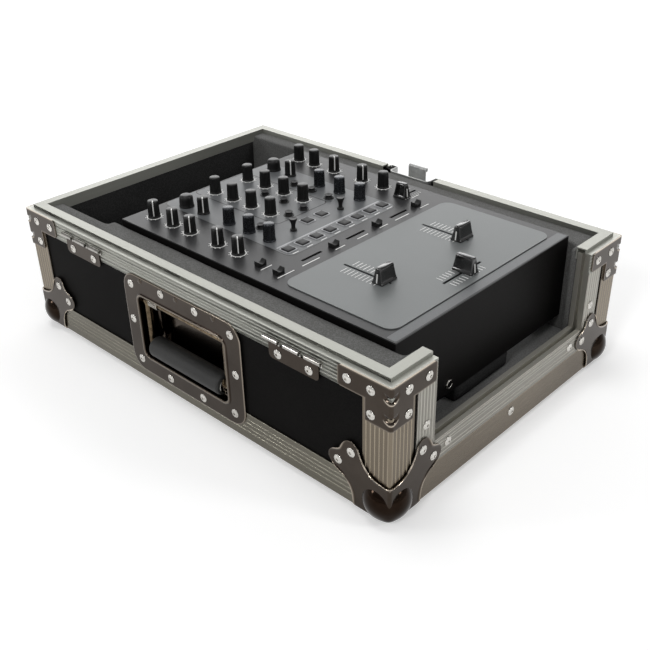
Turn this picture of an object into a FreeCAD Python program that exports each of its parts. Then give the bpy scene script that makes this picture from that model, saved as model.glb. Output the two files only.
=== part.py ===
"""Flight case for a two channel mixing desk, with the desk seated in its foam.

The case is 9 mm laminated board held in aluminium extrusions. Its front wall has a wide U opening
towards the player, a sprung lift handle sits in the left wall and a butterfly latch in the right one.
Units are millimetres. +X is the player's right, -Y the player's side, +Z up.
The origin is the centre of the case's box on the ground.
"""
import FreeCAD, Part
import math
import os

import Sketcher

V = FreeCAD.Vector

# Name of the cell, its value and what it measures. Lengths are in millimetres.
SIZES = [
    ("case_width", 396.0, "outer width over the extrusions"),
    ("case_depth", 578.0, "outer depth over the extrusions"),
    ("case_height", 154.0, "underside to the ledge of the rim"),
    ("skin", 1.5, "wall of every aluminium extrusion"),
    ("board", 9.0, "laminated board"),
    ("seam", 0.3, "running gap between pieces that aren't joined"),
    ("overrun", 2.0, "how far a cutter runs past the face it opens"),
    ("rim_flange", 23.5, "outer flange of the rim, down from the ledge"),
    ("ledge_width", 6.3, "flat ledge outside the tongue"),
    ("tongue_width", 11.8, "raised tongue that the lid fits over"),
    ("tongue_rise", 4.0, "tongue above the ledge"),
    ("rim_leg", 10.0, "inner leg of the rim, down from the ledge"),
    ("corner_leg", 33.0, "leg of the upright corner angles"),
    ("bottom_leg", 33.5, "legs of the bottom angles"),
    ("post_width", 64.5, "front post beside the opening, from the case's side"),
    ("post_seam", 4.5, "between the opening's edge extrusion and the corner angle"),
    ("edge_body", 10.0, "edge extrusion across the thickness of its groove"),
    ("edge_depth", 16.0, "edge extrusion from front to back"),
    ("groove_width", 5.0, "groove that the loose front flap slides in"),
    ("groove_depth", 7.0, "depth of that groove"),
    ("brace_arm", 63.0, "brace along the rim"),
    ("brace_band", 22.5, "height of the brace's arm"),
    ("brace_leg", 31.0, "width of the brace's leg"),
    ("brace_drop", 46.5, "length of the brace's leg"),
    ("brace_wall", 1.6, "pressed steel of the braces"),
    ("brace_rivet_far", 50.0, "far rivet from the corner"),
    ("brace_rivet_near", 22.0, "near rivets from the corner"),
    ("brace_rivet_top", 11.4, "upper rivets below the ledge"),
    ("brace_rivet_low", 37.5, "lower rivet below the ledge"),
    ("ball_radius", 24.0, "ball corner"),
    ("ball_inset", 16.0, "centre of the ball inside each face"),
    ("ball_flat", 0.5, "flat that the ball stands on"),
    ("ball_wall", 1.6, "pressed steel of the ball corner's legs"),
    ("ball_root", 43.0, "leg's root along the corner's edges"),
    ("ball_rivet_long", 62.0, "rivet from the corner, the long way"),
    ("ball_rivet_short", 45.5, "rivet from the corner, the short way"),
    ("ball_tip", 12.0, "round of the leg's end about each rivet"),
    ("rivet_head", 9.5, "diameter of the pop rivet's head"),
    ("rivet_rise", 2.0, "height of the head"),
    ("rivet_hole", 2.6, "hole that the mandrel leaves"),
    ("rivet_sink", 1.4, "depth of that hole"),
    ("hinge_width", 66.0, "leaf along the wall"),
    ("hinge_drop", 31.5, "leaf's lower edge below the ledge"),
    ("hinge_wall", 1.6, "leaf's thickness"),
    ("hinge_round", 6.0, "leaf's lower corners"),
    ("hinge_axis_drop", 9.5, "knuckles' axis below the ledge"),
    ("knuckle_radius", 2.8, "outside of the knuckles"),
    ("knuckle_bore", 1.2, "radius of the knuckles' bore"),
    ("knuckle_length", 20.0, "each knuckle"),
    ("knuckle_pitch", 27.5, "from knuckle to knuckle"),
    ("hinge_rivet_offset", 20.5, "leaf's rivets from its middle"),
    ("hinge_rivet_drop", 24.0, "leaf's rivets below the ledge"),
    ("handle_width", 192.0, "handle plate along the wall"),
    ("handle_base", 11.5, "handle plate above the underside"),
    ("handle_drop", 17.5, "handle plate's top below the ledge"),
    ("handle_round", 20.0, "handle plate's corners"),
    ("dish_wall", 1.5, "pressed steel of the handle and latch dishes"),
    ("handle_side_band", 25.0, "handle plate beside its mouth"),
    ("handle_foot_band", 23.0, "handle plate under its mouth"),
    ("handle_head_band", 24.0, "handle plate over its mouth"),
    ("handle_deep", 22.0, "handle dish inside its plate"),
    ("bead_width", 3.0, "raised bead round the handle's mouth"),
    ("bead_rise", 1.5, "height of the bead"),
    ("pivot_drop", 8.0, "bail's pivot below the top of the mouth"),
    ("pivot_inset", 6.0, "bail's pivot inside the wall's face"),
    ("pivot_radius", 3.0, "bail's pivot rod"),
    ("arm_inset", 6.0, "axis of each bail arm inside the mouth"),
    ("grip_clear", 1.5, "grip above the foot of the mouth"),
    ("bail_radius", 4.0, "rod of the bail"),
    ("grip_inset", 5.0, "rubber grip ends short of each arm's axis"),
    ("grip_radius", 12.5, "rubber grip"),
    ("spring_wire", 1.4, "wire of the return spring"),
    ("spring_pitch", 2.2, "spring's pitch"),
    ("spring_length", 15.4, "spring along its rod"),
    ("latch_width", 83.0, "latch plate along the wall"),
    ("latch_height", 92.0, "latch plate, down from the ledge"),
    ("latch_round", 8.0, "latch plate's lower corners"),
    ("latch_side_band", 10.5, "latch plate beside its mouth"),
    ("latch_foot_band", 12.0, "latch plate under its mouth"),
    ("latch_deep", 16.0, "latch dish inside its plate"),
    ("hub_drop", 44.0, "latch's axis below the ledge"),
    ("hub_radius", 6.0, "latch's post"),
    ("wing_span", 54.0, "latch's two wings together"),
    ("wing_height", 20.0, "latch's wings, upright"),
    ("wing_wall", 2.0, "latch's wings"),
    ("hook_width", 28.0, "latch's hook"),
    ("hook_rise", 8.0, "top of the hook above the ledge"),
    ("hook_wall", 1.8, "plate of the hook"),
    ("hook_roll", 2.6, "radius of the hook's rolled edge"),
    ("hook_tail", 58.0, "foot of the hook below the ledge"),
    ("hook_travel", 6.0, "how far the wing draws the hook down"),
    ("floor_foam", 29.5, "foam on the floor board"),
    ("riser_width", 96.0, "block under the desk"),
    ("riser_rise", 20.0, "block under the desk, above the floor foam"),
    ("foam_wall", 37.5, "foam between the desk and each side board"),
    ("cable_bay", 129.0, "behind the desk, to the case's back"),
    ("desk_proud", 6.0, "desk's top panel above the ledge"),
    ("desk_setback", 37.0, "desk's front behind the case's front"),
    ("desk_gap", 1.5, "each side of the desk to its foam"),
    ("desk_wall", 1.5, "desk's sheet steel"),
    ("foam_step", 10.0, "side foam is thinner behind by this"),
    ("post_foam", 10.0, "foam on the front posts"),
    ("foam_top_drop", 0.5, "foam's top below the ledge"),
    ("plate_wall", 1.0, "fader plate"),
    ("plate_margin", 12.5, "desk's top beside the fader plate"),
    ("plate_setback", 14.0, "fader plate behind the desk's front"),
    ("plate_round", 13.0, "fader plate's corners"),
    ("knob_radius", 6.9, "knob at its foot"),
    ("knob_taper", 0.6, "knob is smaller at its top by this"),
    ("knob_height", 20.5, "knob"),
    ("knob_edge", 1.0, "chamfer round the knob's top"),
    ("knob_skirt", 0.5, "knob's skirt stands out by this"),
    ("knob_skirt_height", 2.0, "knob's skirt"),
    ("encoder_radius", 8.6, "large encoder knobs at their foot"),
    ("encoder_taper", 1.0, "encoder is smaller at its top by this"),
    ("encoder_height", 15.0, "large encoder knobs"),
    ("shaft_radius", 3.0, "shaft under each knob"),
    ("shaft_length", 8.0, "shaft below the top panel"),
    ("cap_length", 24.5, "fader cap along its finger line"),
    ("cap_width", 15.0, "fader cap at its foot"),
    ("cap_top", 6.5, "fader cap at its top"),
    ("cap_height", 17.5, "fader cap"),
    ("cap_draft", 1.7, "cap's ends lean in by this"),
    ("stem_width", 5.0, "fader's stem along its slot"),
    ("stem_wall", 1.4, "fader's stem across its slot"),
    ("stem_length", 9.0, "fader's stem below the plate"),
    ("slot_width", 3.0, "fader slots"),
    ("channel_travel", 54.0, "stroke of the channel faders"),
    ("cross_travel", 54.0, "stroke of the crossfader"),
    ("cue_travel", 22.0, "stroke of the cue fader"),
    ("cue_cap", 17.0, "cue fader's cap along its finger line"),
    ("pad_size", 12.0, "square pads"),
    ("pad_rise", 2.0, "pads above the top panel"),
    ("pad_stroke", 1.0, "how far the pads press in"),
    ("button_radius", 4.8, "round buttons"),
    ("button_rise", 5.0, "round buttons above the top panel"),
    ("press_stem", 3.0, "stem of a pad or button below the top panel"),
    ("switch_length", 11.0, "rocker switches"),
    ("switch_width", 7.0, "rocker switches"),
    ("switch_rise", 6.0, "rocker's two ends above the top panel"),
    ("switch_waist", 2.5, "rocker's middle above the top panel"),
    ("paddle_foot", 4.0, "radius of the paddle's bush"),
    ("paddle_foot_rise", 2.5, "paddle's bush"),
    ("paddle_rise", 15.0, "paddle above the top panel"),
    ("paddle_neck", 2.4, "radius of the paddle's neck"),
    ("paddle_head", 4.8, "radius of the paddle's flared end"),
    ("slit_length", 30.0, "three dark slits across the desk"),
    ("slit_width", 3.6, "three dark slits across the desk"),
    ("jack_radius", 5.0, "headphone jack's ring"),
    ("jack_bore", 3.2, "headphone jack"),
    ("jack_rise", 1.6, "jack's ring in front of the desk"),
    ("jack_lift", 12.0, "jack above the desk's underside"),
]

# Places on the desk as shares: across, of half its width, and along, of its depth from the front.
KNOB_COLUMN_SHARES = {
    "left": -0.808,
    "trim_left": -0.508,
    "eq_left": -0.170,
    "eq_right": 0.193,
    "trim_right": 0.500,
    "right": 0.820,
}
KNOB_ROW_SHARES = {
    "left": (0.587, 0.667, 0.782, 0.857, 0.942),
    "trim_left": (0.583, 0.663, 0.745, 0.855),
    "eq_left": (0.706, 0.786, 0.866, 0.944),
    "eq_right": (0.706, 0.786, 0.866, 0.944),
    "trim_right": (0.583, 0.663, 0.745, 0.870),
    "right": (0.591, 0.675, 0.792, 0.878, 0.946),
}
ENCODER_ROW_SHARES = {"trim_left": 0.930, "trim_right": 0.944}
PAD_COLUMN_SHARES = (-0.525, -0.377, -0.229, -0.081, 0.081, 0.229, 0.377, 0.525)
PAD_ROW_SHARE = 0.505
TOP_PAD_COLUMN_SHARES = (-0.075, 0.085)
TOP_PAD_ROW_SHARE = 0.594
BUTTON_SHARES = (
    (0.064, 0.818), (0.064, 0.738), (0.064, 0.658), (-0.096, 0.660),
    (0.370, 0.806), (0.370, 0.733), (0.354, 0.657), (-0.400, 0.658),
)
SWITCH_SHARES = ((-0.830, 0.494), (-0.830, 0.428), (-0.270, 0.428), (0.212, 0.428), (0.695, 0.430))
PADDLE_SHARES = ((-0.270, 0.578), (0.256, 0.578))
SLIT_COLUMN_SHARES = (-0.490, -0.020, 0.485)
SLIT_ROW_SHARE = 0.432
CHANNEL_COLUMN_SHARE = 0.441
CHANNEL_ROW_SHARE = 0.257
CROSS_ROW_SHARE = 0.085
CUE_SHARES = (0.835, 0.503)
JACK_COLUMN_SHARE = -0.424
# Where each fader rests, as a share of its stroke from the middle.
CHANNEL_REST_SHARE = -0.42
CROSS_REST_SHARE = 0.09
CUE_REST_SHARE = -0.45
# The back edge of the fader plate, along the desk from its front.
PLATE_BACK_SHARE = 0.3835
# The hinge's middle, from the handle plate's edge to the corner brace.
HINGE_SHARE = 0.5808
# Rivet in each front post, from the sill to the rim.
POST_RIVET_SHARE = 0.383
# Where the side foam steps thinner, from the desk's back to the back board.
FOAM_STEP_SHARE = 0.135


class Size:
    """A length made of named cells: the expression that binds it and its value."""

    def __init__(self, text, value):
        self.text = text
        self.value = value

    def joined(self, other, sign, value):
        """Write the expression that joins two terms."""
        return Size("(%s %s %s)" % (self.text, sign, text_of(other)), value)

    def __add__(self, other):
        return self.joined(other, "+", self.value + value_of(other))

    def __sub__(self, other):
        return self.joined(other, "-", self.value - value_of(other))

    def __mul__(self, other):
        return self.joined(other, "*", self.value * value_of(other))

    def __truediv__(self, other):
        return self.joined(other, "/", self.value / value_of(other))

    def __neg__(self):
        return Size("(0 - %s)" % self.text, -self.value)


def value_of(term):
    """The number behind a term or a plain count."""
    return term.value if isinstance(term, Size) else term


def text_of(term):
    """The expression behind a term or a plain count."""
    return term.text if isinstance(term, Size) else repr(term)


class Cells:
    """The spreadsheet of driving sizes, with each cell as an attribute."""

    def __init__(self, document):
        self.sheet = document.addObject("Spreadsheet::Sheet", "Sizes")
        for row, (alias, number, meaning) in enumerate(SIZES, start=1):
            self.sheet.set("A%d" % row, str(number))
            self.sheet.setAlias("A%d" % row, alias)
            self.sheet.set("B%d" % row, meaning)
            setattr(self, alias, Size("Sizes." + alias, number))
        self.rows = len(SIZES)

    def derive(self, alias, term, meaning):
        """Add a cell that is worked out from the driving sizes."""
        self.rows += 1
        self.sheet.set("A%d" % self.rows, "=" + term.text.replace("Sizes.", ""))
        self.sheet.setAlias("A%d" % self.rows, alias)
        self.sheet.set("B%d" % self.rows, meaning)
        setattr(self, alias, Size("Sizes." + alias, term.value))


doc = FreeCAD.newDocument("FlightCase")
c = Cells(doc)


def derive_sizes():
    """Sizes of what fits in, on or between other pieces, each with its named clearance."""
    beside = (c.skin + c.board + c.foam_wall + c.desk_gap) * 2
    c.derive("desk_width", c.case_width - beside, "mixing desk")
    c.derive("desk_depth", c.case_depth - c.desk_setback - c.cable_bay, "mixing desk")
    under = c.skin + c.board + c.floor_foam + c.riser_rise
    c.derive("sill_height", under, "underside to the sill, level with the desk's underside")
    c.derive("desk_height", c.case_height + c.desk_proud - c.sill_height, "mixing desk to its top panel")
    c.derive("opening_width", c.case_width - c.post_width * 2, "clear width of the front opening")
    flange = c.post_width - c.corner_leg - c.post_seam
    c.derive("edge_flange", flange, "flange of the opening's edge extrusion")
    c.derive("handle_height", c.case_height - c.handle_base - c.handle_drop, "handle plate, upright")
    c.derive("handle_mouth_base", c.handle_base + c.handle_foot_band, "handle's mouth above the underside")
    bands = c.handle_foot_band + c.handle_head_band
    c.derive("handle_mouth_height", c.handle_height - bands, "mouth of the handle dish, upright")
    c.derive("handle_mouth_width", c.handle_width - c.handle_side_band * 2, "mouth of the handle dish")
    c.derive("bail_span", c.handle_mouth_width - c.arm_inset * 2, "between the axes of the bail's arms")
    reach = c.handle_mouth_height - c.pivot_drop - c.grip_radius - c.grip_clear
    c.derive("bail_reach", reach, "pivot to the middle of the grip")
    c.derive("grip_length", c.bail_span - c.grip_inset * 2, "rubber grip")
    free = c.case_depth / 2 - c.brace_arm - c.handle_width / 2
    middle = c.handle_width / 2 + free * HINGE_SHARE
    c.derive("hinge_offset", middle, "hinge leaves from the middle of the wall")
    c.derive("latch_mouth_width", c.latch_width - c.latch_side_band * 2, "mouth of the latch dish")
    mouth = c.latch_height - c.latch_foot_band
    c.derive("latch_mouth_height", mouth, "mouth of the latch dish, from the ledge")
    c.derive("plate_width", c.desk_width - c.plate_margin * 2, "fader plate")
    c.derive("plate_depth", c.desk_depth * PLATE_BACK_SHARE - c.plate_setback, "fader plate")
    bay = c.cable_bay - c.skin - c.board
    c.derive("foam_overhang", bay * FOAM_STEP_SHARE, "thick side foam past the desk's back")


derive_sizes()
doc.recompute()
PIECES = []

# Levels and faces that many pieces share.
UNDER = c.ball_radius - c.ball_inset - c.ball_flat
LEDGE = UNDER + c.case_height
SIDE = c.case_width / 2
END = c.case_depth / 2
BOARD_OUT_X = SIDE - c.skin
BOARD_IN_X = BOARD_OUT_X - c.board
BOARD_OUT_Y = END - c.skin
BOARD_IN_Y = BOARD_OUT_Y - c.board
BOARD_TOP = LEDGE - c.skin
FLOOR_TOP = UNDER + c.skin + c.board
FOAM_FLOOR = FLOOR_TOP + c.floor_foam
FOAM_TOP = LEDGE - c.foam_top_drop
RIM_WIDTH = c.ledge_width + c.tongue_width
OPEN_X = c.opening_width / 2
SILL = UNDER + c.sill_height
DESK_TOP = LEDGE + c.desk_proud
DESK_BASE = DESK_TOP - c.desk_height
DESK_X = c.desk_width / 2
DESK_FRONT = c.desk_setback - END
DESK_BACK = DESK_FRONT + c.desk_depth
FOAM_X = DESK_X + c.desk_gap
MOUTH_BASE = UNDER + c.handle_mouth_base
MOUTH_TOP = MOUTH_BASE + c.handle_mouth_height
PIVOT_Z = MOUTH_TOP - c.pivot_drop
PIVOT_X = c.pivot_inset - SIDE
GRIP_Z = PIVOT_Z - c.bail_reach
HUB_Z = LEDGE - c.hub_drop


def bind(thing, field, term):
    """Bind one field of an object to its cells."""
    if isinstance(term, Size):
        thing.setExpression(field, term.text)
    elif term:
        raise ValueError("a bare length for " + field)


def at(thing, x, y, z):
    """Bind the place of an object."""
    bind(thing, "Placement.Base.x", x)
    bind(thing, "Placement.Base.y", y)
    bind(thing, "Placement.Base.z", z)
    return thing


def box(name, x, y, z):
    """A box between two bounds on each axis."""
    made = doc.addObject("Part::Box", name)
    bind(made, "Length", x[1] - x[0])
    bind(made, "Width", y[1] - y[0])
    bind(made, "Height", z[1] - z[0])
    return at(made, x[0], y[0], z[0])


def both(half):
    """The bounds of something centred on zero."""
    return -half, half


def about(middle, width):
    """The bounds of something centred on a middle."""
    return middle - width / 2, middle + width / 2


def rod(name, radius, foot, length, turn=None):
    """A cylinder from its foot, along +Z or turned about an axis through the foot."""
    made = doc.addObject("Part::Cylinder", name)
    bind(made, "Radius", radius)
    bind(made, "Height", length)
    if turn:
        made.Placement = FreeCAD.Placement(V(), FreeCAD.Rotation(turn[0], turn[1]))
    return at(made, *foot)


ALONG_Y = (V(1, 0, 0), -90)
ALONG_X = (V(0, 1, 0), 90)


def ball(name, radius, middle):
    """A sphere about its middle."""
    made = doc.addObject("Part::Sphere", name)
    bind(made, "Radius", radius)
    return at(made, *middle)


def cone(name, foot_radius, top_radius, foot, height):
    """A frustum standing on its foot."""
    made = doc.addObject("Part::Cone", name)
    bind(made, "Radius1", foot_radius)
    bind(made, "Radius2", top_radius)
    bind(made, "Height", height)
    return at(made, *foot)


def fuse(name, shapes):
    """Several objects as one, without the seams between them."""
    made = doc.addObject("Part::MultiFuse", name)
    made.Shapes = shapes
    made.Refine = True
    return made


def cut(name, base, tools):
    """An object with others cut out of it."""
    tool = tools[0] if len(tools) == 1 else fuse(name + "_cutters", tools)
    made = doc.addObject("Part::Cut", name)
    made.Base = base
    made.Tool = tool
    made.Refine = True
    return made


def group(name, shapes):
    """Separate solids that share one node."""
    made = doc.addObject("Part::Compound", name)
    made.Links = shapes
    return made


def rounded(name, x, y, z, radius, axis="z"):
    """A block whose four edges along one axis are rounded."""
    spans = {"x": x, "y": y, "z": z}
    first, second = [key for key in "xyz" if key != axis]
    low = spans[axis][0]
    tall = spans[axis][1] - low
    inner = {key: (spans[key][0] + radius, spans[key][1] - radius) for key in (first, second)}
    parts = []
    for key in (first, second):
        bounds = dict(spans)
        bounds[key] = inner[key]
        parts.append(box("%s_%s" % (name, key), bounds["x"], bounds["y"], bounds["z"]))
    turn = {"x": ALONG_X, "y": ALONG_Y, "z": None}[axis]
    for i, one in enumerate(inner[first]):
        for j, two in enumerate(inner[second]):
            place = {first: one, second: two, axis: low}
            foot = (place["x"], place["y"], place["z"])
            parts.append(rod("%s_round_%d%d" % (name, i, j), radius, foot, tall, turn))
    return fuse(name, parts)


def piece(thing, label):
    """Name a finished piece of the object."""
    thing.Label = label
    PIECES.append(thing)
    return thing


def solid_piece(label, shape, place=None):
    """A piece whose shape is worked out from the cells here, and then placed."""
    made = doc.addObject("Part::Feature", label + "_shape")
    made.Shape = shape
    made.Placement = place or FreeCAD.Placement()
    return piece(made, label)


def plane_of(body, role):
    """One of a body's own origin planes."""
    return [feature for feature in body.Origin.OriginFeatures if feature.Role == role][0]


def outline(body, role, name, corners):
    """A closed sketch of straight edges, each corner bound to the cells."""
    sketch = body.newObject("Sketcher::SketchObject", name)
    sketch.AttachmentSupport = [(plane_of(body, role), "")]
    sketch.MapMode = "FlatFace"
    count = len(corners)
    spots = [V(value_of(across), value_of(up), 0) for across, up in corners]
    for i in range(count):
        sketch.addGeometry(Part.LineSegment(spots[i], spots[(i + 1) % count]))
    for i in range(count):
        sketch.addConstraint(Sketcher.Constraint("Coincident", i, 2, (i + 1) % count, 1))
    for i, corner in enumerate(corners):
        for kind, letter, term in zip(("DistanceX", "DistanceY"), "xy", corner):
            spot = Sketcher.Constraint(kind, -1, 1, i, 1, value_of(term))
            number = sketch.addConstraint(spot)
            sketch.renameConstraint(number, "%s%d" % (letter, i))
            bind(sketch, "Constraints.%s%d" % (letter, i), term)
    return sketch


def turned(name, corners):
    """A body turned about its own Z axis from (radius, height) corners."""
    body = doc.addObject("PartDesign::Body", name)
    sketch = outline(body, "XZ_Plane", name + "_profile", corners)
    spin = body.newObject("PartDesign::Revolution", name + "_spin")
    spin.Profile = sketch
    spin.ReferenceAxis = (sketch, ["V_Axis"])
    spin.Angle = 360
    return body


def padded(name, role, corners, length, midplane=False):
    """A body padded from a closed sketch."""
    body = doc.addObject("PartDesign::Body", name)
    sketch = outline(body, role, name + "_outline", corners)
    pad = body.newObject("PartDesign::Pad", name + "_pad")
    pad.Profile = sketch
    pad.Midplane = midplane
    bind(pad, "Length", length)
    return body


def desk_place(column_share, row_share):
    """A place on the desk's top from its two shares."""
    return DESK_X * column_share, DESK_FRONT + c.desk_depth * row_share


def prism(points, direction):
    """A straight solid from a closed outline and a direction."""
    return Part.Face(Part.makePolygon(points + points[:1])).extrude(direction)


# Extrusions with mitred ends are worked out here and turned to each wall.
def frame_bar(profile, half, start_mitre, end_mitre, start, end):
    """A bar along +Y whose profile is (inward, up), with its back at x = -half.

    A mitred end is cut at 45 degrees, so that it meets the bar of the next wall.
    """
    spots = [V(-half + inward, start, up) for inward, up in profile]
    bar = prism(spots, V(0, end - start, 0))
    inner = max(inward for inward, up in profile)
    low = min(up for inward, up in profile)
    high = max(up for inward, up in profile)
    plan = [
        V(-half, start, low),
        V(-half, end, low),
        V(-half + inner, end - (inner if end_mitre else 0), low),
        V(-half + inner, start + (inner if start_mitre else 0), low),
    ]
    return bar.common(prism(plan, V(0, 0, high - low)))


def quarter_turned(shape, quarters):
    """A copy turned about Z by a number of quarter turns."""
    copy = shape.copy()
    copy.rotate(V(), V(0, 0, 1), 90 * quarters)
    return copy


# Boards
def side_board(name, sign, mouth):
    """A side board with the hole that its dish sits in."""
    x = (BOARD_IN_X, BOARD_OUT_X) if sign > 0 else (-BOARD_OUT_X, -BOARD_IN_X)
    panel = box(name + "_sheet", x, both(BOARD_OUT_Y), (UNDER + c.skin, BOARD_TOP))
    hole_x = (x[0] - c.overrun, x[1] + c.overrun)
    hole = box(name + "_hole", hole_x, mouth[0], mouth[1])
    return piece(cut(name + "_cut", panel, [hole]), name)


def make_boards():
    """The five boards of the case."""
    grow = c.dish_wall + c.seam
    handle_hole = both(c.handle_mouth_width / 2 + grow)
    side_board("left_panel", -1, (handle_hole, (MOUTH_BASE - grow, MOUTH_TOP + grow)))
    latch_hole = both(c.latch_mouth_width / 2 + grow)
    latch_low = LEDGE - c.latch_mouth_height - grow
    side_board("right_panel", 1, (latch_hole, (latch_low, LEDGE)))
    back = box("back_sheet", both(BOARD_IN_X), (BOARD_IN_Y, BOARD_OUT_Y), (UNDER + c.skin, BOARD_TOP))
    piece(back, "back_panel")
    edge = OPEN_X + c.edge_body
    floor = UNDER + c.skin
    corners = [
        (-BOARD_IN_X, floor), (BOARD_IN_X, floor),
        (BOARD_IN_X, BOARD_TOP), (edge, BOARD_TOP),
        (edge, SILL - c.edge_body), (-edge, SILL - c.edge_body),
        (-edge, BOARD_TOP), (-BOARD_IN_X, BOARD_TOP),
    ]
    front = padded("front_board", "XZ_Plane", corners, c.board)
    at(front, 0, -BOARD_IN_Y, 0)
    piece(front, "front_panel")
    floor_z = (UNDER + c.skin, FLOOR_TOP)
    piece(box("floor_board", both(BOARD_IN_X), both(BOARD_IN_Y), floor_z), "floor_panel")


# Rim
def rim_profile():
    """The rim's section: outer flange, ledge and a hollow tongue, as (inward, up)."""
    wall = c.skin.value
    ledge = LEDGE.value
    tongue = c.ledge_width.value
    inner = RIM_WIDTH.value
    top = ledge + c.tongue_rise.value
    return [
        (0, ledge - c.rim_flange.value), (0, ledge), (tongue, ledge), (tongue, top),
        (inner, top), (inner, ledge - c.rim_leg.value), (inner - wall, ledge - c.rim_leg.value),
        (inner - wall, top - wall), (tongue + wall, top - wall), (tongue + wall, ledge - wall),
        (wall, ledge - wall), (wall, ledge - c.rim_flange.value),
    ]


def make_rim():
    """The rim: left and back whole, right parted at the latch, front in two short lengths."""
    profile = rim_profile()
    side = SIDE.value
    end = END.value
    stub = side - OPEN_X.value
    gap = c.latch_width.value / 2 + c.seam.value
    bars = [
        frame_bar(profile, side, True, True, -end, end),
        quarter_turned(frame_bar(profile, end, True, True, -side, side), -1),
        quarter_turned(frame_bar(profile, side, True, False, -end, -gap), 2),
        quarter_turned(frame_bar(profile, side, False, True, gap, end), 2),
        quarter_turned(frame_bar(profile, end, True, False, -side, stub - side), 1),
        quarter_turned(frame_bar(profile, end, False, True, side - stub, side), 1),
    ]
    solid_piece("rim_extrusions", Part.Compound(bars))


def make_bottom_angles():
    """Four mitred angles round the foot of the case."""
    wall = c.skin.value
    leg = c.bottom_leg.value
    low = UNDER.value
    high = low + leg
    profile = [(0, low), (0, high), (wall, high), (wall, low + wall), (leg, low + wall), (leg, low)]
    side = SIDE.value
    end = END.value
    bars = [frame_bar(profile, side, True, True, -end, end)]
    bars.append(quarter_turned(frame_bar(profile, end, True, True, -side, side), -1))
    bars.append(quarter_turned(frame_bar(profile, side, True, True, -end, end), 2))
    bars.append(quarter_turned(frame_bar(profile, end, True, True, -side, side), 1))
    grow = c.dish_wall.value + c.seam.value
    half = c.handle_mouth_width.value / 2 + grow
    bottom = MOUTH_BASE.value - grow
    over = c.overrun.value
    notch = Part.makeBox(wall + 2 * over, 2 * half, high + over - bottom, V(-side - over, -half, bottom))
    bars[0] = bars[0].cut(notch)
    solid_piece("bottom_angles", Part.Compound(bars))


def make_corner_angles():
    """Upright angles on the four corners, between the bottom angles and the rim."""
    low = UNDER + c.bottom_leg + c.seam
    z = (low, LEDGE - c.rim_flange - c.seam)
    angles = []
    for name, sx, sy in (("fl", -1, -1), ("fr", 1, -1), ("bl", -1, 1), ("br", 1, 1)):
        x_leg = (SIDE * sx, (SIDE - c.corner_leg) * sx)
        x_wall = (SIDE * sx, (SIDE - c.skin) * sx)
        y_leg = (END * sy, (END - c.corner_leg) * sy)
        y_wall = (END * sy, (END - c.skin) * sy)
        flat = box("angle_x_" + name, ordered(x_leg), ordered(y_wall), z)
        upright = box("angle_y_" + name, ordered(x_wall), ordered(y_leg), z)
        angles.append(fuse("angle_" + name, [flat, upright]))
    piece(group("angles", angles), "corner_angles")


def ordered(pair):
    """Bounds with the lower one first."""
    return pair if pair[0].value < pair[1].value else (pair[1], pair[0])


def make_edge_channels():
    """Grooved extrusions on both posts and the sill of the front opening."""
    front = -END
    back = front + c.edge_depth
    lip = LEDGE - c.rim_flange - c.seam
    body_y = (front + c.skin, back)
    groove_mid = front + c.edge_depth / 2
    groove_y = about(groove_mid, c.groove_width)
    bars = []
    for name, sign in (("left", -1), ("right", 1)):
        near = OPEN_X * sign
        far = (OPEN_X + c.edge_body) * sign
        wide = (OPEN_X + c.edge_flange) * sign
        post_low = SILL - c.edge_body
        body = box("edge_body_" + name, ordered((near, far)), body_y, (post_low, BOARD_TOP))
        flange = box("edge_flange_" + name, ordered((near, wide)), (front, front + c.skin), (post_low, lip))
        deep = ordered((near - c.overrun * sign, near + c.groove_depth * sign))
        groove = box("edge_groove_" + name, deep, groove_y, (SILL - c.groove_depth, LEDGE + c.overrun))
        bars.append(cut("edge_" + name, fuse("edge_raw_" + name, [body, flange]), [groove]))
    inside = OPEN_X - c.seam
    sill = box("sill_body", both(inside), body_y, (SILL - c.edge_body, SILL))
    low = UNDER + c.bottom_leg + c.seam
    lower = box("sill_flange", both(inside), (front, front + c.skin), (low, SILL))
    reach = OPEN_X + c.edge_flange
    base = box("sill_foot", both(reach), (front, front + c.skin), (low, SILL - c.edge_body - c.seam))
    groove_z = (SILL - c.groove_depth, SILL + c.overrun)
    groove = box("sill_groove", both(OPEN_X + c.overrun), groove_y, groove_z)
    bars.append(cut("sill", fuse("sill_raw", [sill, lower, base]), [groove]))
    piece(group("edges", bars), "opening_channels")


# Hardware of the corners
def to_corner(shape, sx, sy):
    """Move a piece made for the front left corner to another corner by mirroring it."""
    moved = shape
    if sx > 0:
        moved = moved.mirror(V(), V(1, 0, 0))
    if sy > 0:
        moved = moved.mirror(V(), V(0, 1, 0))
    return moved


CORNERS = ((-1, -1), (1, -1), (-1, 1), (1, 1))


def make_braces():
    """Pressed braces over the four upper corners."""
    wall = c.brace_wall.value
    x = -SIDE.value
    y = -END.value
    top = LEDGE.value
    arm = c.brace_arm.value
    band = c.brace_band.value
    leg = c.brace_leg.value
    drop = c.brace_drop.value
    edge = wall
    foot = top - drop
    flat = prism([
        V(x - edge, y - wall, top), V(x + arm, y - wall, top), V(x + arm, y - wall, top - band),
        V(x + leg, y - wall, top - band), V(x + leg, y - wall, foot), V(x - edge, y - wall, foot),
    ], V(0, wall, 0))
    turned_leg = prism([
        V(x - wall, y, top), V(x - wall, y + arm, top), V(x - wall, y + arm, top - band),
        V(x - wall, y + leg, top - band), V(x - wall, y + leg, foot), V(x - wall, y, foot),
    ], V(wall, 0, 0))
    brace = flat.fuse(turned_leg).removeSplitter()
    solid_piece("corner_braces", Part.Compound([to_corner(brace, sx, sy) for sx, sy in CORNERS]))


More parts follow.
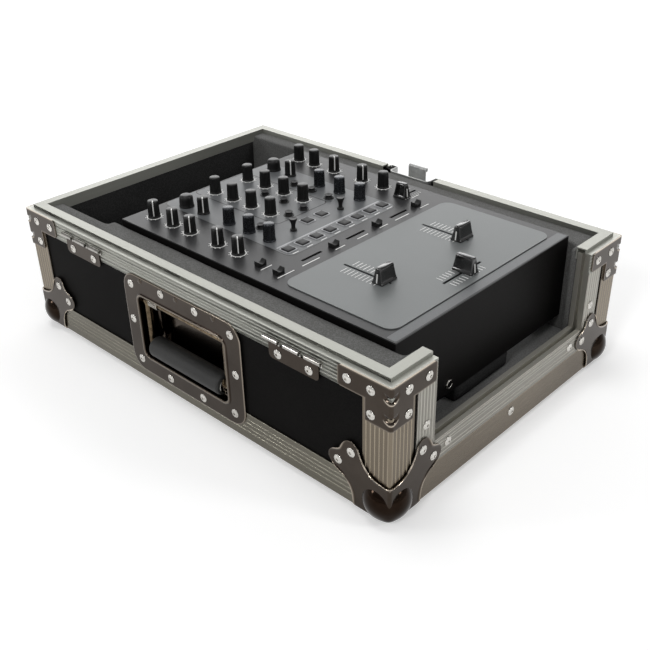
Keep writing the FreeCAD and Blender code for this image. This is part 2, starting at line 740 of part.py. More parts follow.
def ball_leg():
    """A ball corner's leg in plan: straight flanks to a round about each of its two rivets.

    It starts one wall outside the corner, so that the three legs wrap the case's edges.
    """
    wall = c.ball_wall.value
    root = c.ball_root.value
    far = c.ball_rivet_long.value
    near = c.ball_rivet_short.value
    tip = c.ball_tip.value
    flank = math.hypot(far - root, near)
    turn = math.atan2(near, far - root) - math.asin(tip / flank)
    along = math.sqrt(flank ** 2 - tip ** 2)
    touch = V(root + along * math.cos(turn), along * math.sin(turn), 0)
    slant = tip / math.sqrt(2)
    half_turn = turn / 2 - math.pi / 8
    side_mid = V(far + tip * math.cos(half_turn), near + tip * math.sin(half_turn), 0)
    shoulder = V(far + slant, near + slant, 0)

    def flipped(spot):
        return V(spot.y, spot.x, 0)

    heel = V(-wall, -wall, 0)
    edges = [
        Part.makeLine(heel, V(root, -wall, 0)),
        Part.makeLine(V(root, -wall, 0), V(root, 0, 0)),
        Part.makeLine(V(root, 0, 0), touch),
        Part.Arc(touch, side_mid, shoulder).toShape(),
        Part.makeLine(shoulder, flipped(shoulder)),
        Part.Arc(flipped(shoulder), flipped(side_mid), flipped(touch)).toShape(),
        Part.makeLine(flipped(touch), V(0, root, 0)),
        Part.makeLine(V(0, root, 0), V(-wall, root, 0)),
        Part.makeLine(V(-wall, root, 0), heel),
    ]
    return Part.Face(Part.Wire(edges))


def make_ball_corners():
    """Ball corners on the four lower corners, each with a riveted leg on three faces."""
    wall = c.ball_wall.value
    inset = c.ball_inset.value
    x = -SIDE.value
    y = -END.value
    low = UNDER.value
    leg = ball_leg().extrude(V(0, 0, wall))
    under_leg = leg.copy()
    under_leg.Placement = FreeCAD.Placement(V(x, y, low - wall), FreeCAD.Rotation())
    side_leg = leg.copy()
    side_turn = FreeCAD.Rotation(V(0, 1, 0), V(0, 0, 1), V(1, 0, 0), "ZXY")
    side_leg.Placement = FreeCAD.Placement(V(x - wall, y, low), side_turn)
    front_leg = leg.copy()
    front_turn = FreeCAD.Rotation(V(0, 0, 1), V(1, 0, 0), V(0, 1, 0), "ZXY")
    front_leg.Placement = FreeCAD.Placement(V(x, y - wall, low), front_turn)
    globe = Part.makeSphere(c.ball_radius.value)
    # The sphere's poles and seam are turned to the part that the case's corner cuts away.
    poles = V(1, -1, 1)
    seam = V(1, 2, 1)
    turn = FreeCAD.Rotation(seam, poles.cross(seam), poles, "ZXY")
    globe.Placement = FreeCAD.Placement(V(x + inset, y + inset, low + inset), turn)
    ground = Part.makeBox(c.case_width.value, c.case_width.value, c.case_width.value)
    ground.translate(V(x - c.case_width.value / 2, y - c.case_width.value / 2, -c.case_width.value))
    room = Part.makeBox(c.case_width.value, c.case_depth.value, c.case_height.value, V(x, y, low))
    corner = globe.fuse([under_leg, side_leg, front_leg]).cut(room).cut(ground).removeSplitter()
    solid_piece("ball_corners", Part.Compound([to_corner(corner, sx, sy) for sx, sy in CORNERS]))


def rivet_shape():
    """One pop rivet's domed head on the XY plane, with the mandrel's hole."""
    radius = c.rivet_head.value / 2
    rise = c.rivet_rise.value
    curve = (radius ** 2 + rise ** 2) / (2 * rise)
    dome = Part.makeSphere(curve, V(0, 0, rise - curve))
    slab = Part.makeBox(2 * radius, 2 * radius, rise, V(-radius, -radius, 0))
    hole = Part.makeCylinder(c.rivet_hole.value / 2, rise, V(0, 0, rise - c.rivet_sink.value))
    return dome.common(slab).cut(hole)


def rivet_spots():
    """Each rivet's place and the way that it faces."""
    top = LEDGE.value
    low = UNDER.value
    spots = []
    brace = ((c.brace_rivet_far, c.brace_rivet_top), (c.brace_rivet_near, c.brace_rivet_top),
             (c.brace_rivet_near, c.brace_rivet_low))
    leg = ((c.ball_rivet_long, c.ball_rivet_short), (c.ball_rivet_short, c.ball_rivet_long))
    x_face = SIDE.value + c.brace_wall.value
    y_face = END.value + c.brace_wall.value
    x_ball = SIDE.value + c.ball_wall.value
    y_ball = END.value + c.ball_wall.value
    for sx, sy in CORNERS:
        for along, drop in brace:
            spots.append((V(sx * x_face, sy * (END - along).value, top - drop.value), V(sx, 0, 0)))
            spots.append((V(sx * (SIDE - along).value, sy * y_face, top - drop.value), V(0, sy, 0)))
        for along, up in leg:
            spots.append((V(sx * x_ball, sy * (END - along).value, low + up.value), V(sx, 0, 0)))
            spots.append((V(sx * (SIDE - along).value, sy * y_ball, low + up.value), V(0, sy, 0)))
            under = V(sx * (SIDE - along).value, sy * (END - up).value, low - c.ball_wall.value)
            spots.append((under, V(0, 0, -1)))
    spots += front_rivets() + hinge_rivets() + handle_rivets() + latch_rivets()
    return spots


def front_rivets():
    """Rivets through the front opening's extrusions, and one in the bottom angle on each wall."""
    face = -END.value
    post = OPEN_X.value + c.edge_flange.value / 2
    sill = SILL.value - c.edge_flange.value / 2 + c.skin.value
    inner = OPEN_X.value - c.brace_rivet_near.value
    post_top = LEDGE.value - c.rim_flange.value
    post_z = SILL.value + (post_top - SILL.value) * POST_RIVET_SHARE
    foot = UNDER.value + c.bottom_leg.value - c.brace_rivet_top.value
    front = V(0, -1, 0)
    spots = [(V(sign * post, face, post_z), front) for sign in (-1, 1)]
    spots += [(V(sign * inner, face, sill), front) for sign in (-1, 1)]
    spots += [(V(0, face, foot), front), (V(0, -face, foot), V(0, 1, 0))]
    spots.append((V(SIDE.value, 0, foot), V(1, 0, 0)))
    return spots


def hinge_rivets():
    """Two rivets through each hinge leaf."""
    face = -SIDE.value - c.hinge_wall.value
    height = LEDGE.value - c.hinge_rivet_drop.value
    spots = []
    for middle in (-c.hinge_offset.value, c.hinge_offset.value):
        for sign in (-1, 1):
            spots.append((V(face, middle + sign * c.hinge_rivet_offset.value, height), V(-1, 0, 0)))
    return spots


# Handle plate's rivets, as shares of half its width and of its height.
HANDLE_RIVET_SHARES = (
    (0.854, 0.892), (0.292, 0.940), (0.896, 0.524), (0.833, 0.116), (0.292, 0.076),
)


def handle_rivets():
    """Rivets round the handle's plate, the same on both halves."""
    face = -SIDE.value - c.dish_wall.value
    base = UNDER.value + c.handle_base.value
    spots = []
    for across, up in HANDLE_RIVET_SHARES:
        for sign in (-1, 1):
            y = sign * across * c.handle_width.value / 2
            spots.append((V(face, y, base + up * c.handle_height.value), V(-1, 0, 0)))
    return spots


# Latch plate's rivets, as shares of its height down from the ledge.
LATCH_RIVET_SHARES = (0.2, 0.72)


def latch_rivets():
    """Rivets down both sides of the latch's plate."""
    face = SIDE.value + c.dish_wall.value
    y = (c.latch_width.value + c.latch_mouth_width.value) / 4
    top = LEDGE.value
    return [(V(face, sign * y, top - share * c.latch_height.value), V(1, 0, 0))
            for share in LATCH_RIVET_SHARES for sign in (-1, 1)]


def make_rivets():
    """Every pop rivet of the case, as separate solids."""
    head = rivet_shape()
    heads = []
    for spot, facing in rivet_spots():
        one = head.copy()
        one.Placement = FreeCAD.Placement(spot, FreeCAD.Rotation(V(0, 0, 1), facing))
        heads.append(one)
    solid_piece("rivets", Part.Compound(heads))


# Hinges, handle and latch
def make_hinges():
    """The case's halves of two lift-off hinges: a riveted leaf with three knuckles."""
    face = (-SIDE - c.hinge_wall, -SIDE)
    axis_x = -SIDE - c.knuckle_radius
    axis_z = LEDGE - c.hinge_axis_drop
    low = LEDGE - c.hinge_drop
    leaves = []
    for name, side in (("front", -1), ("back", 1)):
        middle = c.hinge_offset * side
        y = about(middle, c.hinge_width)
        high = low + c.hinge_round * 3
        lower = rounded("leaf_foot_" + name, face, y, (low, high), c.hinge_round, "x")
        upper = box("leaf_sheet_" + name, face, y, (low + c.hinge_round, axis_z))
        knuckles = []
        bores = []
        for step in (-1, 0, 1):
            start = middle + c.knuckle_pitch * step - c.knuckle_length / 2
            tag = "%s_%d" % (name, step + 1)
            spot = (axis_x, start, axis_z)
            knuckles.append(rod("knuckle_" + tag, c.knuckle_radius, spot, c.knuckle_length, ALONG_Y))
        run = middle - c.hinge_width / 2 - c.overrun * 4
        through = c.hinge_width + c.overrun * 8
        bores.append(rod("bore_" + name, c.knuckle_bore, (axis_x, run, axis_z), through, ALONG_Y))
        raw = fuse("leaf_raw_" + name, [lower, upper] + knuckles)
        leaves.append(cut("leaf_" + name, raw, bores))
    piece(group("hinges", leaves), "hinge_leaves")


def make_handle():
    """The recessed handle: its pressed dish, the bail, the rubber grip and the return spring."""
    plate_x = (-SIDE - c.dish_wall, -SIDE)
    half = c.handle_width / 2
    base = UNDER + c.handle_base
    plate_z = (base, base + c.handle_height)
    plate = rounded("handle_plate", plate_x, both(half), plate_z, c.handle_round, "x")
    mouth = c.handle_mouth_width / 2
    floor = c.handle_deep - SIDE
    grow = c.dish_wall
    pan_z = (MOUTH_BASE - grow, MOUTH_TOP + grow)
    pan = box("handle_pan", (-SIDE - c.dish_wall, floor + grow), both(mouth + grow), pan_z)
    bead_x = (-SIDE - c.dish_wall - c.bead_rise, -SIDE - c.dish_wall + c.seam)
    bead_z = (MOUTH_BASE - c.bead_width, MOUTH_TOP + c.bead_width)
    bead = box("handle_bead", bead_x, both(mouth + c.bead_width), bead_z)
    hollow_x = (-SIDE - c.dish_wall - c.bead_rise - c.overrun, floor)
    hollow = box("handle_hollow", hollow_x, both(mouth), (MOUTH_BASE, MOUTH_TOP))
    run = mouth + grow + c.overrun
    pin_hole = rod("pivot_hole", c.pivot_radius + c.seam, (PIVOT_X, -run, PIVOT_Z), run * 2, ALONG_Y)
    raw = fuse("handle_raw", [plate, pan, bead])
    piece(cut("handle_pressing", raw, [hollow, pin_hole]), "handle_dish")

    arm_y = c.bail_span / 2
    parts = [rod("bail_bar", c.bail_radius, (PIVOT_X, -arm_y, GRIP_Z), c.bail_span, ALONG_Y)]
    pin = mouth + grow
    parts.append(rod("bail_pivot", c.pivot_radius, (PIVOT_X, -pin, PIVOT_Z), pin * 2, ALONG_Y))
    for name, sign in (("front", -1), ("back", 1)):
        foot = (PIVOT_X, arm_y * sign, GRIP_Z)
        parts.append(rod("bail_arm_" + name, c.bail_radius, foot, c.bail_reach))
        parts.append(ball("bail_elbow_" + name, c.bail_radius, foot))
        parts.append(ball("bail_eye_" + name, c.bail_radius, (PIVOT_X, arm_y * sign, PIVOT_Z)))
    piece(fuse("bail", parts), "handle_bail")

    start = (PIVOT_X, -c.grip_length / 2, GRIP_Z)
    sleeve = rod("grip_sleeve", c.grip_radius, start, c.grip_length, ALONG_Y)
    bore_start = (PIVOT_X, -c.grip_length / 2 - c.overrun, GRIP_Z)
    bore = rod("grip_bore", c.bail_radius, bore_start, c.grip_length + c.overrun * 2, ALONG_Y)
    piece(cut("grip", sleeve, [bore]), "handle_grip")
    make_spring()


def make_spring():
    """The return spring, one unbroken coil round the bail's pivot rod."""
    radius = (c.pivot_radius + c.seam + c.spring_wire / 2).value
    helix = Part.makeHelix(c.spring_pitch.value, c.spring_length.value, radius)
    lean = c.spring_pitch.value / (2 * math.pi * radius)
    section = Part.Circle(V(radius, 0, 0), V(0, 1, lean), c.spring_wire.value / 2).toShape()
    coil = Part.Wire(helix.Edges).makePipeShell([Part.Wire([section])], True, False)
    print("spring's least gap to itself %.2f" % (c.spring_pitch.value - c.spring_wire.value))
    y = c.bail_span.value / 2 - c.bail_radius.value - c.spring_wire.value - c.spring_length.value
    place = FreeCAD.Placement(V(PIVOT_X.value, y, PIVOT_Z.value), FreeCAD.Rotation(V(1, 0, 0), -90))
    solid_piece("handle_spring", coil, place)


def make_latch():
    """The recessed butterfly latch: dish, sliding hook and the wing on its post."""
    face = SIDE + c.dish_wall
    low = LEDGE - c.latch_height
    plate_y = both(c.latch_width / 2)
    foot = rounded("latch_foot", (SIDE, face), plate_y, (low, low + c.latch_round * 3), c.latch_round, "x")
    sheet = box("latch_sheet", (SIDE, face), plate_y, (low + c.latch_round, LEDGE))
    mouth = c.latch_mouth_width / 2
    mouth_low = LEDGE - c.latch_mouth_height
    floor = SIDE - c.latch_deep
    pan_x = (floor - c.dish_wall, face)
    pan = box("latch_pan", pan_x, both(mouth + c.dish_wall), (mouth_low - c.dish_wall, LEDGE))
    hollow_x = (floor, face + c.overrun)
    hollow = box("latch_hollow", hollow_x, both(mouth), (mouth_low, LEDGE + c.overrun))
    post = rod("latch_post", c.hub_radius, (floor, 0, HUB_Z), face - floor, ALONG_X)
    shell = cut("latch_shell", fuse("latch_raw", [foot, sheet, pan]), [hollow])
    bore_reach = face - floor + c.overrun
    pin_bore = rod("latch_bore", c.hub_radius / 2 + c.seam, (floor + c.skin, 0, HUB_Z), bore_reach, ALONG_X)
    piece(cut("latch_pressing", fuse("latch_body", [shell, post]), [pin_bore]), "latch_dish")

    hook_x = (face + c.seam, face + c.seam + c.hook_wall)
    hook_z = (LEDGE - c.hook_tail, LEDGE + c.hook_rise - c.hook_roll)
    blade = box("hook_blade", hook_x, both(c.hook_width / 2), hook_z)
    roll_x = face + c.seam + c.hook_roll
    roll_spot = (roll_x, -c.hook_width / 2, LEDGE + c.hook_rise - c.hook_roll)
    roll = rod("hook_roll", c.hook_roll, roll_spot, c.hook_width, ALONG_Y)
    window = c.hub_radius / 2 + c.seam
    window_z = (HUB_Z - window, HUB_Z + window + c.hook_travel)
    window_x = (face, face + c.seam + c.hook_wall + c.overrun)
    slot = box("hook_window", window_x, both(window), window_z)
    piece(cut("hook", fuse("hook_raw", [blade, roll]), [slot]), "latch_hook")

    wing_low = face + c.seam * 2 + c.hook_wall
    wing_x = (wing_low, wing_low + c.wing_wall)
    wing_z = about(HUB_Z, c.wing_height)
    wings = rounded("wing_plate", wing_x, both(c.wing_span / 2), wing_z, c.wing_height / 4, "x")
    pin_foot = floor + c.skin + c.seam
    pin = rod("wing_pin", c.hub_radius / 2, (pin_foot, 0, HUB_Z), wing_x[1] - pin_foot, ALONG_X)
    piece(fuse("wing", [wings, pin]), "latch_wing")


# Foam
def make_foam():
    """Foam on the side walls, the posts and the floor, and the block under the desk."""
    top_z = (LEDGE - c.rim_leg - c.seam, FOAM_TOP)
    low_z = (FOAM_FLOOR, top_z[0])
    foam_front = c.edge_depth - END + c.post_foam
    step_y = DESK_BACK + c.foam_overhang
    back_y = BOARD_IN_Y - c.seam
    upper_x = SIDE - RIM_WIDTH - c.seam
    upper_back = END - RIM_WIDTH - c.seam
    slabs = []
    for name, sign in (("left", -1), ("right", 1)):
        lower = ordered((FOAM_X * sign, BOARD_IN_X * sign))
        upper = ordered((FOAM_X * sign, upper_x * sign))
        thin_low = ordered(((FOAM_X + c.foam_step) * sign, BOARD_IN_X * sign))
        thin_up = ordered(((FOAM_X + c.foam_step) * sign, upper_x * sign))
        slab = fuse("foam_raw_" + name, [
            box("foam_low_" + name, lower, (foam_front, step_y), low_z),
            box("foam_up_" + name, upper, (foam_front, step_y), top_z),
        ])
        slabs.append(cut("foam_" + name, slab, [foam_pocket(name, sign)]))
        slabs.append(fuse("foam_thin_" + name, [
            box("foam_thin_low_" + name, thin_low, (step_y, back_y), low_z),
            box("foam_thin_up_" + name, thin_up, (step_y, upper_back), top_z),
        ]))
        post = ordered((OPEN_X * sign, upper_x * sign))
        low_y = (c.edge_depth + c.seam - END, foam_front)
        top_y = (RIM_WIDTH + c.seam - END, foam_front)
        slabs.append(fuse("foam_post_" + name, [
            box("post_low_" + name, post, low_y, low_z),
            box("post_top_" + name, post, top_y, top_z),
        ]))
    piece(group("wall_foam", slabs), "side_foam")
    floor_z = (FLOOR_TOP, FOAM_FLOOR)
    sheet = box("floor_sheet", both(BOARD_IN_X), both(BOARD_IN_Y), floor_z)
    piece(cut("floor_cut", sheet, [foam_pocket("floor", -1)]), "floor_foam")
    riser_y = (DESK_FRONT, DESK_BACK)
    piece(box("riser", both(c.riser_width / 2), riser_y, (FOAM_FLOOR, DESK_BASE)), "foam_riser")


def foam_pocket(name, sign):
    """The pocket that a dish needs in the side foam."""
    grow = c.dish_wall + c.seam
    if sign < 0:
        x = (-SIDE, c.handle_deep - SIDE + grow)
        y = both(c.handle_mouth_width / 2 + grow)
        return box("pocket_" + name, x, y, (MOUTH_BASE - grow, MOUTH_TOP + grow))
    x = (SIDE - c.latch_deep - grow, SIDE)
    y = both(c.latch_width / 2)
    return box("pocket_" + name, x, y, (LEDGE - c.latch_mouth_height - grow, LEDGE + c.overrun))


# Mixing desk
def panel_holes(z):
    """Cutters for every shaft, stem and slot in the desk's top."""
    tools = []
    for name, x, y, radius in turning_places():
        tools.append(rod("hole_" + name, c.shaft_radius + c.seam, (x, y, z[0]), z[1] - z[0]))
    for i, share in enumerate(SLIT_COLUMN_SHARES):
        x, y = desk_place(share, SLIT_ROW_SHARE)
        tools.append(box("slit_%d" % i, about(x, c.slit_length), about(y, c.slit_width), z))
    x, y = desk_place(*CUE_SHARES)
    tools.append(box("cue_slot", about(x, c.cue_travel + c.stem_width * 2), about(y, c.slot_width), z))
    return tools + press_holes(z)


def press_places():
    """Name, place and half size of every pad and round button."""
    places = []
    for i, share in enumerate(PAD_COLUMN_SHARES):
        places.append(("pad_%d" % i,) + desk_place(share, PAD_ROW_SHARE) + (True,))
    for i, share in enumerate(TOP_PAD_COLUMN_SHARES):
        places.append(("top_pad_%d" % i,) + desk_place(share, TOP_PAD_ROW_SHARE) + (True,))
    for i, shares in enumerate(BUTTON_SHARES):
        places.append(("button_%d" % i,) + desk_place(*shares) + (False,))
    return places


def press_holes(z):
    """Cutters that let the pads and buttons through the top panel."""
    tools = []
    for name, x, y, square in press_places():
        if square:
            side = c.pad_size + c.seam * 2
            tools.append(box("hole_" + name, about(x, side), about(y, side), z))
        else:
            tools.append(rod("hole_" + name, c.button_radius + c.seam, (x, y, z[0]), z[1] - z[0]))
    return tools


def fader_slots(z):
    """Cutters for the channel faders and the crossfader."""
    tools = []
    y = DESK_FRONT + c.desk_depth * CHANNEL_ROW_SHARE
    for name, sign in (("left", -1), ("right", 1)):
        x = DESK_X * CHANNEL_COLUMN_SHARE * sign
        length = c.channel_travel + c.stem_width * 2
        tools.append(box("slot_" + name, about(x, c.slot_width), about(y, length), z))
    y = DESK_FRONT + c.desk_depth * CROSS_ROW_SHARE
    length = c.cross_travel + c.stem_width * 2
    tools.append(box("slot_cross", both(length / 2), about(y, c.slot_width), z))
    return tools


def turning_places():
    """Name, place and foot radius of every knob."""
    places = []
    for column, rows in KNOB_ROW_SHARES.items():
        for number, row in enumerate(rows, start=1):
            x, y = desk_place(KNOB_COLUMN_SHARES[column], row)
            places.append(("%s_%d" % (column, number), x, y, c.knob_radius))
    for column, row in ENCODER_ROW_SHARES.items():
        x, y = desk_place(KNOB_COLUMN_SHARES[column], row)
        places.append((column + "_encoder", x, y, c.encoder_radius))
    return places


def make_desk_shell():
    """The desk's folded case, its top panel and the raised plate under the faders."""
    floor_z = (DESK_BASE, DESK_TOP - c.desk_wall)
    y = (DESK_FRONT, DESK_BACK)
    outer = box("desk_outer", both(DESK_X), y, floor_z)
    inner_y = (DESK_FRONT + c.desk_wall, DESK_BACK - c.desk_wall)
    inner_z = (DESK_BASE + c.desk_wall, DESK_TOP + c.overrun)
    hollow = box("desk_hollow", both(DESK_X - c.desk_wall), inner_y, inner_z)
    jack_x = DESK_X * JACK_COLUMN_SHARE
    jack_z = DESK_BASE + c.jack_lift
    ring_spot = (jack_x, DESK_FRONT - c.jack_rise, jack_z)
    ring = rod("jack_ring", c.jack_radius, ring_spot, c.jack_rise + c.desk_wall, ALONG_Y)
    bore_spot = (jack_x, DESK_FRONT - c.jack_rise - c.overrun, jack_z)
    bore = rod("jack_bore_cut", c.jack_bore, bore_spot, c.jack_rise + c.desk_wall + c.overrun * 2, ALONG_Y)
    folded = cut("desk_folded", outer, [hollow])
    piece(cut("desk_shell", fuse("desk_jacked", [folded, ring]), [bore]), "mixer_chassis")

    sheet_z = (DESK_TOP - c.desk_wall, DESK_TOP)
    cut_z = (sheet_z[0] - c.overrun, sheet_z[1] + c.overrun)
    sheet = box("desk_sheet", both(DESK_X), y, sheet_z)
    piece(cut("desk_top", sheet, panel_holes(cut_z) + fader_slots(cut_z)), "mixer_top_panel")

    plate_front = DESK_FRONT + c.plate_setback
    plate_y = (plate_front, plate_front + c.plate_depth)
    plate_z = (DESK_TOP, DESK_TOP + c.plate_wall)
    plate = rounded("plate_sheet", both(c.plate_width / 2), plate_y, plate_z, c.plate_round)
    over_z = (plate_z[0] - c.overrun, plate_z[1] + c.overrun)
    slots = fader_slots(over_z)
    for number, slot in enumerate(slots):
        slot.Label = "plate_slot_%d" % number
    piece(cut("fader_sheet", plate, slots), "mixer_fader_plate")


def make_cap(label, x, y, floor, length, along_x):
    """A fader's cap on its stem: a wedge that narrows to its finger line."""
    half = length / 2
    wide = c.cap_width / 2
    wedge = doc.addObject("Part::Wedge", label + "_cap")
    bind(wedge, "Xmin", -half)
    bind(wedge, "Xmax", half)
    bind(wedge, "Zmin", -wide)
    bind(wedge, "Zmax", wide)
    bind(wedge, "Ymax", c.cap_height)
    wedge.Ymin = 0
    bind(wedge, "X2min", c.cap_draft - half)
    bind(wedge, "X2max", half - c.cap_draft)
    bind(wedge, "Z2min", -c.cap_top / 2)
    bind(wedge, "Z2max", c.cap_top / 2)
    upright = FreeCAD.Rotation(V(1, 0, 0), 90)
    turn = FreeCAD.Rotation() if along_x else FreeCAD.Rotation(V(0, 0, 1), 90)
    wedge.Placement = FreeCAD.Placement(V(), turn * upright)
    at(wedge, x, y, floor + c.seam)
    across = c.stem_wall if along_x else c.stem_width
    along = c.stem_width if along_x else c.stem_wall
    stem_z = (floor - c.stem_length, floor + c.seam * 2)
    stem = box(label + "_stem", about(x, across), about(y, along), stem_z)
    piece(fuse(label + "_fused", [wedge, stem]), label)


def make_faders():
    """Two channel faders, the crossfader and the small cue fader."""
    floor = DESK_TOP + c.plate_wall
    y = DESK_FRONT + c.desk_depth * CHANNEL_ROW_SHARE + c.channel_travel * CHANNEL_REST_SHARE
    for name, sign in (("left", -1), ("right", 1)):
        x = DESK_X * CHANNEL_COLUMN_SHARE * sign
        make_cap("mixer_fader_" + name, x, y, floor, c.cap_length, True)
    x = c.cross_travel * CROSS_REST_SHARE
    y = DESK_FRONT + c.desk_depth * CROSS_ROW_SHARE
    make_cap("mixer_crossfader", x, y, floor, c.cap_length, False)
    x, y = desk_place(*CUE_SHARES)
    x = x + c.cue_travel * CUE_REST_SHARE
    make_cap("mixer_cue_fader", x, y, DESK_TOP, c.cue_cap, False)


def make_knobs():
    """Every knob of the desk with its shaft, each a body of its own."""
    for name, x, y, foot in turning_places():
        large = name.endswith("encoder")
        taper = c.encoder_taper if large else c.knob_taper
        height = c.encoder_height if large else c.knob_height
        start = c.seam
        skirt = foot + c.knob_skirt
        top = foot - taper
        corners = [
            (0, -c.shaft_length), (c.shaft_radius, -c.shaft_length), (c.shaft_radius, start),
            (skirt, start), (skirt, c.knob_skirt_height), (foot, c.knob_skirt_height),
            (top, height - c.knob_edge), (top - c.knob_edge, height), (0, height),
        ]
        knob = turned("knob_" + name, corners)
        at(knob, x, y, DESK_TOP)
        piece(knob, "mixer_knob_" + name)


def make_presses():
    """Ten square pads and eight round buttons, which share one node."""
    parts = []
    for name, x, y, square in press_places():
        low = DESK_TOP - c.desk_wall - c.press_stem
        if square:
            top = DESK_TOP + c.pad_rise
            parts.append(box("press_" + name, about(x, c.pad_size), about(y, c.pad_size), (low, top)))
        else:
            tall = c.desk_wall + c.press_stem + c.button_rise
            parts.append(rod("press_" + name, c.button_radius, (x, y, low), tall))
    piece(group("presses", parts), "mixer_pads")


def make_switches():
    """Five rocker switches and two flared paddles, which share one node."""
    parts = []
    for number, shares in enumerate(SWITCH_SHARES):
        x, y = desk_place(*shares)
        half = c.switch_length / 2
        corners = [(-half, 0), (half, 0), (half, c.switch_rise), (0, c.switch_waist), (-half, c.switch_rise)]
        body = padded("rocker_%d" % number, "XZ_Plane", corners, c.switch_width, True)
        at(body, x, y, DESK_TOP)
        parts.append(body)
    for number, shares in enumerate(PADDLE_SHARES):
        x, y = desk_place(*shares)
        foot = rod("paddle_foot_%d" % number, c.paddle_foot, (x, y, DESK_TOP), c.paddle_foot_rise)
        neck = cone("paddle_neck_%d" % number, c.paddle_neck, c.paddle_head, (x, y, DESK_TOP), c.paddle_rise)
        parts.append(fuse("paddle_%d" % number, [foot, neck]))
    piece(group("switches", parts), "mixer_switches")


def check_document():
    """Stop if any object failed to build."""
    for thing in doc.Objects:
        if "Invalid" in thing.State or "Error" in thing.State:
            raise RuntimeError("failed: %s %s" % (thing.Name, thing.State))
    for thing in PIECES:
        if thing.Shape.isNull() or not thing.Shape.isValid():
            raise RuntimeError("bad shape: " + thing.Label)


def export_pieces():
    """Write each piece to a file with its name."""
    os.makedirs("parts", exist_ok=True)
    for thing in PIECES:
        thing.Shape.exportStep("parts/%s.step" % thing.Label)
    print("%d pieces" % len(PIECES))


make_boards()
make_rim()
make_bottom_angles()
make_corner_angles()
make_edge_channels()
make_braces()
make_ball_corners()
make_rivets()
make_hinges()
make_handle()
make_latch()
make_foam()
make_desk_shell()
make_faders()
make_knobs()
make_presses()
make_switches()
doc.recompute()
check_document()
export_pieces()
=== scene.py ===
"""Looks of a DJ mixer's flight case: laminate boards, aluminium edges, stamped corners, a seated mixer."""

import logging
import math
from dataclasses import dataclass
from enum import Enum

import bmesh
import bpy
import numpy as np
from mathutils import Matrix, Vector


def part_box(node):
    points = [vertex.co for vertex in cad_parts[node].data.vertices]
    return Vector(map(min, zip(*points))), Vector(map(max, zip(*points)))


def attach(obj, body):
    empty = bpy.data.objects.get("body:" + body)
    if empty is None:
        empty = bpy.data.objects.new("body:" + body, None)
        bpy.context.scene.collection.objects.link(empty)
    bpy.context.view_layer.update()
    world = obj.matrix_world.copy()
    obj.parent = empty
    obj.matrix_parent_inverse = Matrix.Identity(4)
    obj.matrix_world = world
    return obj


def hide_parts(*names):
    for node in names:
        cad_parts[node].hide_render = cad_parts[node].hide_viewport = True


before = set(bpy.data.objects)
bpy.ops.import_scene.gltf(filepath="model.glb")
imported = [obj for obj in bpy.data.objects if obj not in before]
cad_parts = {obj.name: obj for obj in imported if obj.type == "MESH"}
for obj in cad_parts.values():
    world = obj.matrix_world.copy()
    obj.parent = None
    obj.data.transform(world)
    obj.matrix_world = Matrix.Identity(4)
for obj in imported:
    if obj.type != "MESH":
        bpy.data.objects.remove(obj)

log = logging.getLogger("flight_case")
MM = 0.001
GRAIN = "Grain"
# Per-point tone: wear mixed with painted highlights and painted shade.
WEAR_AND_PAINTED_LIGHT = "Tone"


# Colours and materials
def linear(hex_colour: str) -> tuple:
    """One sRGB colour as linear red, green, blue and alpha.

    Args:
        hex_colour: Six digits, such as "8c8278".

    Returns:
        Four numbers, c/12.92 below 0.04045 and ((c + 0.055)/1.055)^2.4 above.
    """
    values = np.array([int(hex_colour[i:i + 2], 16) for i in (0, 2, 4)]) / 255.0
    curve = np.where(values <= 0.04045, values / 12.92, ((values + 0.055) / 1.055) ** 2.4)
    return (*curve.tolist(), 1.0)


def add(tree: bpy.types.NodeTree, kind: str, inputs: dict | None = None, **settings) -> bpy.types.Node:
    """Add one node, set its properties and fill its inputs.

    Args:
        tree: The node tree that gets the node.
        kind: Blender's name for the node type.
        inputs: Socket name or number to a value or to an output socket to link.
        **settings: Properties of the node.

    Returns:
        The new node.
    """
    node = tree.nodes.new(kind)
    for name, value in settings.items():
        setattr(node, name, value)
    for key, value in (inputs or {}).items():
        if isinstance(value, bpy.types.NodeSocket):
            tree.links.new(value, node.inputs[key])
        else:
            node.inputs[key].default_value = value
    return node


class Pattern(Enum):
    """How the fine structure of a surface lies."""

    MOTTLED = "soft patches, alike in every direction"
    BRUSHED = "long scratches along the piece"
    PEBBLED = "rounded grains side by side"
    CELLULAR = "small open cells"


